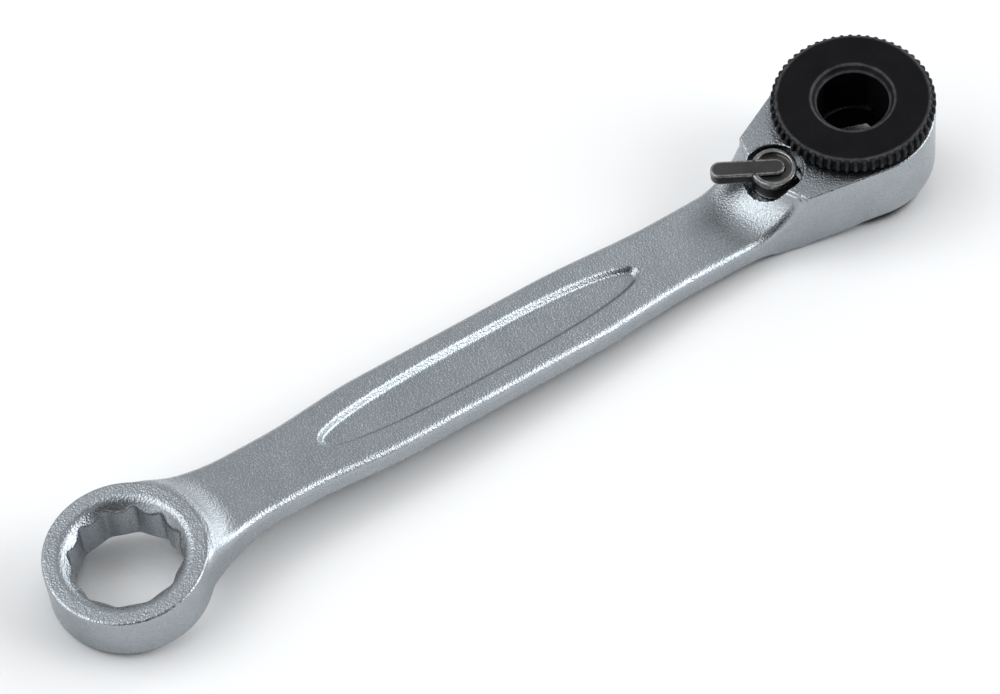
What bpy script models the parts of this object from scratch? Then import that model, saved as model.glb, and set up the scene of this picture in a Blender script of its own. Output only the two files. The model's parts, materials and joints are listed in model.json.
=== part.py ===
"""Bit ratchet: a flat forged handle with a twelve-point ring at one end and a reversible ratchet head at the other.

The model lies as it would on a bench. +X runs along the tool from ring to head, +Z is up and the plane y = 0 is
the plane of symmetry of the forging. Ring and head are bent the same way out of the handle's plane, so each has
a frame of its own. Sizes are in metres.
"""

import math

import bmesh
import bpy
from mathutils import Vector

MM = 0.001

# Clearances
RUNNING_GAP = 0.15 * MM
SEAT_GAP = 0.12 * MM
FACE_GAP = 0.3 * MM
SNUG_GAP = 0.06 * MM
OVERCUT = 1.0 * MM

# Handle: a flat bar with two waists, a lens-shaped recess on top and a ramp up to the head
BEND = math.radians(13.5)
HANDLE_RUN = 55.8 * MM
HANDLE_THICKNESS = 2.3 * MM
HANDLE_EDGE = 0.32 * MM
GRIP_HALF_WIDTH = 4.12 * MM
RING_WAIST = 3.48 * MM
HEAD_WAIST = 3.58 * MM
RING_WAIST_END = 8.5 * MM
GRIP_START = 19.0 * MM
GRIP_END = 38.0 * MM
HEAD_WAIST_START = 50.5 * MM
HEAD_RAMP_LENGTH = 5.6 * MM
HEAD_RAMP_RADIUS = 5.0 * MM
RING_RAMP_LENGTH = 1.1 * MM
RING_RAMP_RADIUS = 1.6 * MM
RING_UNDERSIDE_LENGTH = 7.0 * MM
RING_UNDERSIDE_RADIUS = 20.0 * MM
BLEND_INSET = 0.1 * MM
FLANK_BLEND = 0.9 * MM
FLANK_INSET = 0.2 * MM
RECESS_MIDDLE = 29.1 * MM
RECESS_HALF_LENGTH = 17.1 * MM
RECESS_HALF_WIDTH = 2.25 * MM
RECESS_DEPTH = 0.4 * MM
RECESS_FULLNESS = 2.8

# Ring: twelve-point spanner
RING_ACROSS_FLATS = 8.07 * MM
RING_WALL = 1.89 * MM
RING_HEIGHT = 4.75 * MM
RING_LOWER_EDGE = 0.5 * MM
RING_UPPER_EDGE = 0.15 * MM
RING_CHAMFER = 0.5 * MM
RING_LOWER_CHAMFER = 0.3 * MM
RING_FILLET = 20.0 * MM
RING_KNEE = 0.5 * MM

# Gear train inside the head, from the floor of the head upwards
GEAR_TEETH = 60
GEAR_TIP_RADIUS = 5.4 * MM
TOOTH_DEPTH = 0.35 * MM
TOOTH_FLAT = 0.05 * MM
BIT_ACROSS_FLATS = 6.45 * MM
JOURNAL_RADIUS = 4.5 * MM
GEAR_FACE = 3.5 * MM
HEAD_FLOOR = 1.0 * MM
WASHER_THICKNESS = 0.6 * MM
CIRCLIP_THICKNESS = 0.6 * MM
CIRCLIP_WIDTH = 1.0 * MM
CIRCLIP_DEPTH = 0.35 * MM
CIRCLIP_OPENING = math.radians(34)
TOP_LAND = 0.4 * MM
CLIP_WIRE = 0.44 * MM
CLIP_INNER_RADIUS = 3.2 * MM
CLIP_OPENING = math.radians(40)

# Head: pear-shaped outside
HEAD_WALL = 1.35 * MM
FLANK_ANGLE = math.radians(18.2)
HEAD_LOWER_EDGE = 0.95 * MM
HEAD_BACK_EDGE = 2.5 * MM
HEAD_UPPER_EDGE = 0.15 * MM
HEAD_NECK = 5.2 * MM
BACK_LAND = 1.0 * MM

# Thumb disc on top of the gear
DISC_RADIUS = 7.09 * MM
DISC_THICKNESS = 1.5 * MM
DISC_EDGE = 0.4 * MM
DISC_WEB = 0.7 * MM
DISC_HOLE = 6.2 * MM
DISC_HOLE_CHAMFER = 0.45 * MM
DISC_HUB_WALL = 0.65 * MM
KNURL_COUNT = 58
KNURL_DEPTH = 0.22 * MM

# Pawl, its pin, and how far it rocks each way
PAWL_DEPTH = 1.74 * MM
PAWL_REACH = math.radians(36)
PAWL_WING = 0.65 * MM
PAWL_BACK_HALF_WIDTH = 1.9 * MM
PAWL_HORN = 0.4 * MM
PAWL_ROCK = math.radians(6)
PAWL_SWEEP_STEPS = 4
PIN_RADIUS = 0.4 * MM
PIN_DEPTH = 0.55 * MM
POCKET_GAP = 0.55 * MM

# Reversing lever, seal ring, plunger and spring
LEVER_SWING = math.radians(77.8)
LEVER_STEP = 1.0 * MM
STEM_FOOT = 0.35 * MM
STEM_RADIUS = 1.45 * MM
HUB_RADIUS = 1.86 * MM
HUB_HEIGHT = 2.0 * MM
HUB_PROUD = 0.2 * MM
HUB_RIM = 0.36 * MM
HUB_DISH = 0.35 * MM
HUB_POCKET_GAP = 0.64 * MM
ARM_LENGTH = 5.2 * MM
ARM_HALF_WIDTH = 0.72 * MM
ARM_THICKNESS = 1.1 * MM
ARM_INNER_END = 0.95 * MM
ARM_PROUD = 0.05 * MM
SEAL_WIRE = 0.34 * MM
SEAL_BELOW_HUB = 0.65 * MM
PLUNGER_RADIUS = 0.42 * MM
PLUNGER_REACH = 0.33 * MM
PLUNGER_LENGTH = 1.3 * MM
PLUNGER_STROKE = 0.2 * MM
SPRING_WIRE = 0.14 * MM
SPRING_RADIUS = 0.27 * MM
SPRING_TURNS = 3
STEM_WALL = 0.4 * MM

# Facets
ROUND_STEPS = 60
SMALL_STEPS = 28
CHAMFER_STEPS = 50
CHAMFER_TURN = math.radians(1)
EDGE_STEPS = 4
CURL_STEPS = 10
TOP_STEPS = 7
UPRIGHT_SHARE = 0.97
END_SPACING = 0.5 * MM
MIDDLE_SPACING = 2.1 * MM

# Worked out for the ring
RING_TIP_RADIUS = RING_ACROSS_FLATS / 2 / math.cos(math.radians(30))
RING_VALLEY_RADIUS = RING_ACROSS_FLATS / 2 / math.cos(math.radians(15))
RING_RADIUS = RING_TIP_RADIUS + RING_WALL
RING_REACH = RING_RADIUS + RING_KNEE

# Worked out for the gear stack: heights above the head's underside
GEAR_BASE = HEAD_FLOOR + RUNNING_GAP
GEAR_TOP = GEAR_BASE + GEAR_FACE
WASHER_BASE = GEAR_TOP + FACE_GAP
WASHER_TOP = WASHER_BASE + WASHER_THICKNESS
CIRCLIP_BASE = WASHER_TOP + RUNNING_GAP
CIRCLIP_TOP = CIRCLIP_BASE + CIRCLIP_THICKNESS
HEAD_HEIGHT = CIRCLIP_TOP + RUNNING_GAP + TOP_LAND
DISC_BASE = HEAD_HEIGHT + FACE_GAP
DISC_TOP = DISC_BASE + DISC_THICKNESS
CLIP_HEIGHT = (GEAR_BASE + GEAR_TOP) / 2
JOURNAL_TOP = DISC_TOP - DISC_WEB - RUNNING_GAP
GEAR_BORE_RADIUS = GEAR_TIP_RADIUS + FACE_GAP
JOURNAL_BORE_RADIUS = JOURNAL_RADIUS + RUNNING_GAP
HEX_CORNER_RADIUS = BIT_ACROSS_FLATS / 2 / math.cos(math.radians(30))

# Worked out for pawl and lever: distances behind the drive axis
PAWL_FRONT = GEAR_TIP_RADIUS + SEAT_GAP / 2
PAWL_BACK = PAWL_FRONT + PAWL_DEPTH
PIN_DISTANCE = (PAWL_FRONT + PAWL_BACK) / 2
POCKET_FLOOR = HEAD_FLOOR + RUNNING_GAP
PAWL_BASE = POCKET_FLOOR + RUNNING_GAP
PAWL_TOP = GEAR_TOP
POCKET_TOP = WASHER_BASE
PLUNGER_SWEEP = STEM_RADIUS + PLUNGER_REACH + SEAT_GAP
LEVER_DISTANCE = PAWL_BACK + PLUNGER_SWEEP
STEM_BORE_RADIUS = STEM_RADIUS + RUNNING_GAP
HUB_TOP = HEAD_HEIGHT + HUB_PROUD
HUB_BASE = HUB_TOP - HUB_HEIGHT
HUB_POCKET_RADIUS = HUB_RADIUS + HUB_POCKET_GAP
PLUNGER_BORE_RADIUS = PLUNGER_RADIUS + SEAT_GAP
LEVER_FLOOR = HEAD_FLOOR + LEVER_STEP
STEM_BASE = LEVER_FLOOR + FACE_GAP
PLUNGER_HEIGHT = STEM_BASE + STEM_FOOT + PLUNGER_BORE_RADIUS
SPRING_SEAT = STEM_WALL - STEM_RADIUS
SEAL_HEIGHT = HUB_BASE - SEAL_BELOW_HUB
SEAL_RADIUS = STEM_BORE_RADIUS - SNUG_GAP - SEAL_WIRE / 2

# Worked out for the head's outline
HEAD_RADIUS = GEAR_BORE_RADIUS + HEAD_WALL
HEAD_BACK_RADIUS = LEVER_DISTANCE + BACK_LAND
HEAD_REACH = HEAD_BACK_RADIUS + HEAD_NECK
HEAD_STEP = HANDLE_RUN + HEAD_NECK * math.cos(BEND)


# Scene helpers

def clear_scene():
    """Remove every object of the scene."""
    for item in list(bpy.data.objects):
        bpy.data.objects.remove(item, do_unlink=True)


def add_finish(name, colour, roughness, metallic):
    """Return a plain surface with the given colour, roughness and metallic value."""
    finish = bpy.data.materials.new(name)
    finish.use_nodes = True
    shader = finish.node_tree.nodes["Principled BSDF"]
    shader.inputs["Base Color"].default_value = (*colour, 1.0)
    shader.inputs["Roughness"].default_value = roughness
    shader.inputs["Metallic"].default_value = metallic
    finish.diffuse_color = (*colour, 1.0)
    return finish


def add_frame(name, parent=None, location=(0, 0, 0), lean=0.0, turn=0.0):
    """Return an empty that carries pieces: lean turns it about Y, turn about its own Z."""
    frame = bpy.data.objects.new(name, None)
    bpy.context.collection.objects.link(frame)
    frame.parent = parent
    frame.location = location
    frame.rotation_euler = (0, lean, turn)
    return frame


def add_object(name, data, frame, finish=None):
    """Link an object with its data into the scene, carried by a frame."""
    item = bpy.data.objects.new(name, data)
    bpy.context.collection.objects.link(item)
    item.parent = frame
    if finish is not None:
        data.materials.append(finish)
    return item


def add_mesh(name, points, faces, frame, finish=None):
    """Make an object from points and faces, with its faces turned outwards and smooth between soft edges."""
    mesh = bpy.data.meshes.new(name)
    mesh.from_pydata([tuple(point) for point in points], [], faces)
    shape = bmesh.new()
    shape.from_mesh(mesh)
    bmesh.ops.recalc_face_normals(shape, faces=shape.faces)
    shape.to_mesh(mesh)
    shape.free()
    mesh.shade_smooth()
    mesh.set_sharp_from_angle(angle=math.radians(30))
    return add_object(name, mesh, frame, finish)


def loft(name, sections, frame, finish=None):
    """Skin a row of closed sections that have the same number of points, and cap both ends."""
    count = len(sections[0])
    points = [point for section in sections for point in section]
    faces = []
    for row in range(len(sections) - 1):
        for step in range(count):
            after = (step + 1) % count
            faces.append((row * count + step, row * count + after,
                          (row + 1) * count + after, (row + 1) * count + step))
    faces.append(tuple(range(count)))
    last = (len(sections) - 1) * count
    faces.append(tuple(last + step for step in range(count)))
    return add_mesh(name, points, faces, frame, finish)


def at_height(outline, height):
    """Lift a flat outline to a height."""
    return [(x, y, height) for x, y in outline]


def prism(name, outline, base, top, frame, finish=None):
    """Extrude a flat outline between two heights."""
    return loft(name, [at_height(outline, base), at_height(outline, top)], frame, finish)


def stack(name, rings, frame, finish=None, steps=ROUND_STEPS):
    """Make a round solid from (radius, height) pairs about the frame's Z axis."""
    return loft(name, [at_height(circle(radius, steps), height) for radius, height in rings], frame, finish)


def swept_bar(name, profile, opening, frame, finish):
    """Sweep a closed (radius, height) profile about Z and leave an opening at +X."""
    sections = []
    for step in range(ROUND_STEPS + 1):
        angle = opening / 2 + (math.tau - opening) * step / ROUND_STEPS
        sections.append([(r * math.cos(angle), r * math.sin(angle), z) for r, z in profile])
    return loft(name, sections, frame, finish)


def ring_solid(name, inner, outer, base, top, frame, finish=None):
    """Make a plain washer about Z."""
    profile = [(inner, base), (outer, base), (outer, top), (inner, top)]
    count = len(profile)
    points = []
    faces = []
    for step in range(ROUND_STEPS):
        angle = math.tau * step / ROUND_STEPS
        following = (step + 1) % ROUND_STEPS
        points += [(r * math.cos(angle), r * math.sin(angle), z) for r, z in profile]
        for corner in range(count):
            beside = (corner + 1) % count
            faces.append((step * count + corner, step * count + beside,
                          following * count + beside, following * count + corner))
    return add_mesh(name, points, faces, frame, finish)


def wire(name, points, diameter, frame, finish, closed=False):
    """Make a round wire along points."""
    curve = bpy.data.curves.new(name, "CURVE")
    curve.dimensions = "3D"
    curve.bevel_depth = diameter / 2
    curve.bevel_resolution = 1
    curve.use_fill_caps = True
    spline = curve.splines.new("POLY")
    spline.points.add(len(points) - 1)
    for slot, point in zip(spline.points, points):
        slot.co = (*point, 1.0)
    spline.use_cyclic_u = closed
    spline.use_smooth = True
    return add_object(name, curve, frame, finish)


def combine(target, tool, operation):
    """Cut a tool out of a piece or join it on, and hide the tool."""
    modifier = target.modifiers.new(tool.name, "BOOLEAN")
    modifier.object = tool
    modifier.operation = operation
    modifier.solver = "EXACT"
    tool.hide_render = True
    tool.display_type = "WIRE"


def cut(target, tool):
    """Cut a tool's shape out of a piece."""
    combine(target, tool, "DIFFERENCE")


def join(target, tool):
    """Join a tool's shape onto a piece."""
    combine(target, tool, "UNION")


# Outlines

def circle(radius, steps=ROUND_STEPS):
    """Points of a circle about the origin."""
    return [(radius * math.cos(math.tau * step / steps), radius * math.sin(math.tau * step / steps))
            for step in range(steps)]


def arc(radius, start, end, steps):
    """Points of an arc about the origin, both ends included."""
    angles = [start + (end - start) * step / steps for step in range(steps + 1)]
    return [(radius * math.cos(angle), radius * math.sin(angle)) for angle in angles]


def star(outer, inner, count, phase):
    """Outline that goes in and out between two radii, with an outer point at the phase angle."""
    outline = []
    for step in range(2 * count):
        angle = phase + math.pi * step / count
        radius = outer if step % 2 == 0 else inner
        outline.append((radius * math.cos(angle), radius * math.sin(angle)))
    return outline


def gear_outline(swell):
    """Outline of the gear's teeth, grown on every side by swell."""
    tip = GEAR_TIP_RADIUS + swell
    root = GEAR_TIP_RADIUS - TOOTH_DEPTH + swell
    pitch = math.tau / GEAR_TEETH
    at_tip = (TOOTH_FLAT + swell) / tip
    at_root = pitch / 2 - max(TOOTH_FLAT - swell / 2, TOOTH_FLAT / 4) / root
    outline = []
    for tooth in range(GEAR_TEETH):
        middle = tooth * pitch
        for radius, angle in ((root, -at_root), (tip, -at_tip), (tip, at_tip), (root, at_root)):
            outline.append((radius * math.cos(middle + angle), radius * math.sin(middle + angle)))
    return outline


def pear_outline(inset, back_inset):
    """Outline of the head: a round end, two straight flanks and a back edge round the drive axis."""
    radius = HEAD_RADIUS - inset
    back = HEAD_BACK_RADIUS - back_inset
    tangent = math.pi / 2 + FLANK_ANGLE
    corner = tangent + math.acos(radius / back)
    front = arc(radius, -tangent, tangent, ROUND_STEPS // 2)
    rear = arc(back, corner, math.tau - corner, ROUND_STEPS // 6)
    return front + rear


def knurl_outline(radius, depth):
    """Outline of the disc's rim with its ridges, cut in by depth between them."""
    outline = []
    pitch = math.tau / KNURL_COUNT
    for ridge in range(KNURL_COUNT):
        for share, drop in ((-0.5, 1.0), (-0.16, 0.0), (0.16, 0.0)):
            reach = radius - drop * depth
            angle = pitch * (ridge + share)
            outline.append((reach * math.cos(angle), reach * math.sin(angle)))
    return outline


def lens_outline(grow):
    """Outline of the handle's recess, a long oval that is fuller than an ellipse."""
    half_length = RECESS_HALF_LENGTH + grow
    half_width = RECESS_HALF_WIDTH + grow
    outline = []
    for step in range(ROUND_STEPS):
        angle = math.tau * step / ROUND_STEPS
        x = math.copysign(abs(math.cos(angle)) ** (2 / RECESS_FULLNESS), math.cos(angle))
        y = math.copysign(abs(math.sin(angle)) ** (2 / RECESS_FULLNESS), math.sin(angle))
        outline.append((RECESS_MIDDLE + half_length * x, half_width * y))
    return outline


def stadium(start, end, half_width):
    """Outline of a bar along X with round ends, from end to end."""
    quarter = math.pi / 2
    right = [(end - half_width + x, y) for x, y in arc(half_width, -quarter, quarter, 2 * EDGE_STEPS)]
    left = [(start + half_width + x, y) for x, y in arc(half_width, quarter, 3 * quarter, 2 * EDGE_STEPS)]
    return right + left


# Handle profiles along X

def smooth_step(value, start, end):
    """Rise smoothly from 0 at start to 1 at end."""
    share = min(max((value - start) / (end - start), 0.0), 1.0)
    return share * share * (3 - 2 * share)


def ring_side(x):
    """Half-width where the handle runs out into the ring: an arc that touches waist and ring."""
    along = (x + RING_REACH * math.cos(BEND)) / math.cos(BEND)
    inside = RING_RADIUS - BLEND_INSET
    outer = inside + RING_FILLET
    centre = math.sqrt(outer ** 2 - (RING_WAIST + RING_FILLET) ** 2)
    touch = centre * inside / outer
    if along >= centre:
        return RING_WAIST
    if along <= touch:
        return math.sqrt(inside ** 2 - along ** 2)
    return RING_WAIST + RING_FILLET - math.sqrt(RING_FILLET ** 2 - (centre - along) ** 2)


def head_side(x):
    """Half-width of the head's flank, carried on towards the handle."""
    along = (x - HANDLE_RUN) / math.cos(BEND) - HEAD_REACH
    return (HEAD_RADIUS + math.sin(FLANK_ANGLE) * along) / math.cos(FLANK_ANGLE) - FLANK_INSET


def half_width(x):
    """Half-width of the handle at x."""
    swell = smooth_step(x, RING_WAIST_END, GRIP_START) * (GRIP_HALF_WIDTH - RING_WAIST)
    shrink = smooth_step(x, GRIP_END, HEAD_WAIST_START) * (GRIP_HALF_WIDTH - HEAD_WAIST)
    bar = ring_side(x) + swell - shrink
    flank = head_side(x)
    return (bar + flank + math.hypot(bar - flank, FLANK_BLEND)) / 2


def hollow(radius, distance):
    """Rise of a hollow round corner at a distance from where it leaves the flat, up to nearly upright."""
    reach = min(max(distance, 0.0), radius * UPRIGHT_SHARE)
    return radius - math.sqrt(radius ** 2 - reach ** 2)


def top_height(x, y):
    """Height of the handle's top above its middle plane, with the hollow ramps up to ring and head."""
    flat = HANDLE_THICKNESS / 2
    curve = HEAD_BACK_RADIUS - math.sqrt(HEAD_BACK_RADIUS ** 2 - y ** 2)
    to_head = flat + hollow(HEAD_RAMP_RADIUS, x - HEAD_STEP + HEAD_RAMP_LENGTH - curve)
    from_ring = math.hypot(x / math.cos(BEND) + RING_REACH, y) - RING_RADIUS
    to_ring = flat + hollow(RING_RAMP_RADIUS, RING_RAMP_LENGTH - from_ring)
    head_top = (x - HANDLE_RUN) * math.tan(BEND) + HEAD_HEIGHT / 2 / math.cos(BEND) - BLEND_INSET
    ring_top = x * math.tan(BEND) + RING_HEIGHT / 2 / math.cos(BEND) - BLEND_INSET
    if x > HANDLE_RUN / 2:
        return min(to_head, max(flat, head_top))
    return min(to_ring, ring_top)


def bottom_height(x):
    """Height of the handle's underside, which runs down towards the ring."""
    ring_bottom = x * math.tan(BEND) - RING_HEIGHT / 2 / math.cos(BEND) + BLEND_INSET
    drop = hollow(RING_UNDERSIDE_RADIUS, RING_UNDERSIDE_LENGTH - x)
    flat = -HANDLE_THICKNESS / 2
    return min(flat, max(flat - drop, ring_bottom))


def handle_section(x):
    """Section of the bar at x: flat sides and underside, a shaped top, and rounded edges."""
    side = half_width(x) - HANDLE_EDGE
    bottom = bottom_height(x) + HANDLE_EDGE
    quarter = math.pi / 2
    edge = top_height(x, side) - HANDLE_EDGE
    corners = ((side, edge), (-side, edge), (-side, bottom), (side, bottom))
    section = []
    for turn, (y, z) in enumerate(corners):
        for dy, dz in arc(HANDLE_EDGE, turn * quarter, (turn + 1) * quarter, EDGE_STEPS - 1):
            section.append((x, y + dy, z + dz))
        if turn == 0:
            for step in range(1, TOP_STEPS):
                across = side * (1 - 2 * step / TOP_STEPS)
                section.append((x, across, top_height(x, across)))
    return section


def edge_profile(base, top, lower, upper):
    """Pairs of inset and height for an upright side with a round lower edge and a bevelled upper edge."""
    pairs = []
    for step in range(EDGE_STEPS + 1):
        angle = math.pi / 2 * step / EDGE_STEPS
        pairs.append((lower * (1 - math.sin(angle)), base + lower * (1 - math.cos(angle))))
    return pairs + [(0.0, top - upper), (upper, top)]


# Forged body

def add_ring_blank(frame):
    """Return the ring's outside as a solid disc."""
    sides = edge_profile(-RING_HEIGHT / 2, RING_HEIGHT / 2, RING_LOWER_EDGE, RING_UPPER_EDGE)
    return stack("ring_blank", [(RING_RADIUS - inset, height) for inset, height in sides], frame)


def add_head_blank(frame):
    """Return the head's outside as a solid."""
    sections = []
    for inset, height in edge_profile(0.0, HEAD_HEIGHT, HEAD_LOWER_EDGE, HEAD_UPPER_EDGE):
        back_inset = inset * HEAD_BACK_EDGE / HEAD_LOWER_EDGE if height < HEAD_HEIGHT / 2 else inset
        sections.append(at_height(pear_outline(inset, back_inset), height))
    return loft("head_blank", sections, frame)


def cut_ring(body, frame):
    """Cut the twelve-point hole and its two lead-in chamfers."""
    face = RING_HEIGHT / 2
    points = star(RING_TIP_RADIUS, RING_VALLEY_RADIUS, 12, math.radians(15))
    cut(body, prism("twelve_point", points, -face - OVERCUT, face + OVERCUT, frame))
    narrow = RING_ACROSS_FLATS / 2 - RING_CHAMFER
    for name, side, chamfer in (("upper", 1, RING_CHAMFER), ("lower", -1, RING_LOWER_CHAMFER)):
        wide = RING_TIP_RADIUS + chamfer
        rings = [(wide + OVERCUT, side * (face + OVERCUT)), (narrow, side * (face - wide + narrow))]
        cone = stack(f"ring_chamfer_{name}", rings, frame, steps=CHAMFER_STEPS)
        cone.rotation_euler.z = CHAMFER_TURN
        cut(body, cone)


def cut_recess(body, frame):
    """Cut the lens-shaped recess with its sloping wall into the handle's top."""
    top = HANDLE_THICKNESS / 2
    upper = at_height(lens_outline(RECESS_DEPTH), top + RECESS_DEPTH)
    lower = at_height(lens_outline(-RECESS_DEPTH), top - RECESS_DEPTH)
    cut(body, loft("recess", [upper, lower], frame))


def pocket_outline():
    """Outline of the pawl's pocket: the pawl at both ends of its rock, with room round it."""
    rock = PIN_DISTANCE * math.sin(PAWL_REACH) * PAWL_ROCK
    side = math.pi - PAWL_REACH - POCKET_GAP / PAWL_FRONT
    wing = PAWL_FRONT + PAWL_WING + rock + POCKET_GAP
    back = PAWL_BACK + PAWL_HORN + FACE_GAP
    spread = PAWL_BACK_HALF_WIDTH + POCKET_GAP
    upper = [(PAWL_FRONT - POCKET_GAP, side), (wing, side)]
    half = [(radius * math.cos(angle), radius * math.sin(angle)) for radius, angle in upper] + [(-back, spread)]
    return half + [(x, -y) for x, y in reversed(half)]


def cut_head(body, frame, lever_axis, pin_axis):
    """Cut the bores, grooves and pockets of the mechanism into the head."""
    above = HEAD_HEIGHT + OVERCUT
    groove = GEAR_BORE_RADIUS + CIRCLIP_DEPTH + RUNNING_GAP
    cut(body, stack("gear_bore", [(GEAR_BORE_RADIUS, HEAD_FLOOR), (GEAR_BORE_RADIUS, above)], frame))
    mouth = [(JOURNAL_BORE_RADIUS, -OVERCUT), (JOURNAL_BORE_RADIUS, HEAD_FLOOR + OVERCUT)]
    cut(body, stack("bit_mouth", mouth, frame))
    rings = [(groove, CIRCLIP_BASE - RUNNING_GAP), (groove, CIRCLIP_TOP + RUNNING_GAP)]
    cut(body, stack("circlip_groove", rings, frame))
    cut(body, prism("pawl_pocket", pocket_outline(), POCKET_FLOOR, POCKET_TOP, frame))
    hub = [(HUB_POCKET_RADIUS, HUB_BASE - RUNNING_GAP), (HUB_POCKET_RADIUS, above)]
    cut(body, stack("hub_pocket", hub, lever_axis))
    stem = [(STEM_BORE_RADIUS, LEVER_FLOOR), (STEM_BORE_RADIUS, HUB_BASE)]
    cut(body, stack("stem_bore", stem, lever_axis, steps=SMALL_STEPS))
    limit = LEVER_SWING / 2 + math.asin(PLUNGER_BORE_RADIUS / STEM_RADIUS)
    sweep = [(0.0, 0.0)] + arc(PLUNGER_SWEEP, -limit, limit, SMALL_STEPS)
    tall = PLUNGER_RADIUS + RUNNING_GAP
    cut(body, prism("plunger_path", sweep, PLUNGER_HEIGHT - tall, PLUNGER_HEIGHT + tall, lever_axis))
    seat = PIN_RADIUS + SEAT_GAP
    rings = [(seat, POCKET_FLOOR - PIN_DEPTH), (seat, POCKET_FLOOR + OVERCUT)]
    cut(body, stack("pin_hole", rings, pin_axis, steps=SMALL_STEPS))


def handle_stations():
    """Places along X for the bar's sections: close together at both ends, wider apart between."""
    end = HEAD_STEP + OVERCUT
    stations = []
    place = -RING_REACH * math.cos(BEND) + RING_RADIUS / 3
    while place < end - END_SPACING / 2:
        stations.append(place)
        near_end = place < RING_KNEE + RING_RAMP_LENGTH or place > HEAD_STEP - HEAD_RAMP_LENGTH - END_SPACING
        place += END_SPACING if near_end else MIDDLE_SPACING
    return stations + [end]


def add_body(tool, ring_frame, head_frame, lever_axis, pin_axis, finish):
    """Make the one-piece forging: handle, ring and head."""
    sections = [handle_section(x) for x in handle_stations()]
    body = loft("handle_body", sections, tool, finish)
    join(body, add_ring_blank(ring_frame))
    join(body, add_head_blank(head_frame))
    cut_ring(body, ring_frame)
    cut_recess(body, tool)
    cut_head(body, head_frame, lever_axis, pin_axis)


# Gear and what turns with it

def add_gear(frame, finish):
    """Make the drive gear with its two journals, its hexagon socket and the clip's groove."""
    gear = prism("drive_gear", gear_outline(0.0), GEAR_BASE, GEAR_TOP, frame, finish)
    journal = [(JOURNAL_RADIUS, RUNNING_GAP), (JOURNAL_RADIUS, JOURNAL_TOP)]
    join(gear, stack("journal", journal, frame))
    # One flat of the socket looks at the lever
    hexagon = [(-y, x) for x, y in circle(HEX_CORNER_RADIUS, 6)]
    cut(gear, prism("hexagon", hexagon, -OVERCUT, JOURNAL_TOP + OVERCUT, frame))
    wide = CLIP_INNER_RADIUS + CLIP_WIRE + RUNNING_GAP
    tall = CLIP_WIRE / 2 + RUNNING_GAP
    groove = [(wide, CLIP_HEIGHT - tall), (wide, CLIP_HEIGHT + tall)]
    cut(gear, stack("clip_groove", groove, frame))


def add_bit_clip(frame, finish):
    """Make the open wire ring that holds the bit."""
    radius = CLIP_INNER_RADIUS + CLIP_WIRE / 2
    path = arc(radius, CLIP_OPENING / 2, math.tau - CLIP_OPENING / 2, SMALL_STEPS)
    wire("bit_clip", at_height(path, CLIP_HEIGHT), CLIP_WIRE, frame, finish)


def add_thumb_disc(frame, finish):
    """Make the knurled disc that sits on the gear's upper journal."""
    plain = DISC_RADIUS - DISC_EDGE
    rows = [(plain, 0.0, DISC_BASE), (DISC_RADIUS, KNURL_DEPTH, DISC_BASE + DISC_EDGE),
            (DISC_RADIUS, KNURL_DEPTH, DISC_TOP - DISC_EDGE), (plain, 0.0, DISC_TOP)]
    sections = [at_height(knurl_outline(radius, depth), height) for radius, depth, height in rows]
    disc = loft("thumb_disc", sections, frame, finish)
    hub = JOURNAL_BORE_RADIUS + DISC_HUB_WALL
    join(disc, stack("disc_hub", [(hub, CIRCLIP_TOP + RUNNING_GAP), (hub, DISC_BASE + DISC_EDGE)], frame))
    seat = [(JOURNAL_BORE_RADIUS, GEAR_BASE), (JOURNAL_BORE_RADIUS, DISC_TOP - DISC_WEB)]
    cut(disc, stack("journal_seat", seat, frame))
    hole = DISC_HOLE / 2
    cut(disc, stack("disc_hole", [(hole, DISC_BASE), (hole, DISC_TOP + OVERCUT)], frame))
    wide = hole + DISC_HOLE_CHAMFER + OVERCUT
    narrow = hole - OVERCUT
    lead_in = [(wide, DISC_TOP + OVERCUT), (narrow, DISC_TOP - DISC_HOLE_CHAMFER - OVERCUT)]
    cut(disc, stack("disc_lead_in", lead_in, frame))


def add_gear_keepers(frame, washer_finish, circlip_finish):
    """Make the washer over the gear and the circlip that keeps both in the head."""
    outer = GEAR_BORE_RADIUS - RUNNING_GAP
    ring_solid("gear_washer", JOURNAL_BORE_RADIUS, outer, WASHER_BASE, WASHER_TOP, frame, washer_finish)
    outer = GEAR_BORE_RADIUS + CIRCLIP_DEPTH
    inner = outer - CIRCLIP_WIDTH
    profile = [(inner, CIRCLIP_BASE), (outer, CIRCLIP_BASE), (outer, CIRCLIP_TOP), (inner, CIRCLIP_TOP)]
    swept_bar("gear_circlip", profile, CIRCLIP_OPENING, frame, circlip_finish)


# Pawl and its pin

def pawl_outline():
    """Outline of the pawl about its pin, half way through its rock: front arc, wings and back."""
    front = arc(PAWL_FRONT, math.pi + PAWL_REACH, math.pi - PAWL_REACH, SMALL_STEPS // 2)
    wing = PAWL_FRONT + PAWL_WING
    side = (wing * math.cos(math.pi - PAWL_REACH), wing * math.sin(math.pi - PAWL_REACH))
    back = (-PAWL_BACK - PAWL_HORN, PAWL_BACK_HALF_WIDTH)
    rear = [side, back, (back[0], -back[1]), (side[0], -side[1])]
    return [(x + PIN_DISTANCE, y) for x, y in front + rear]


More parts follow.
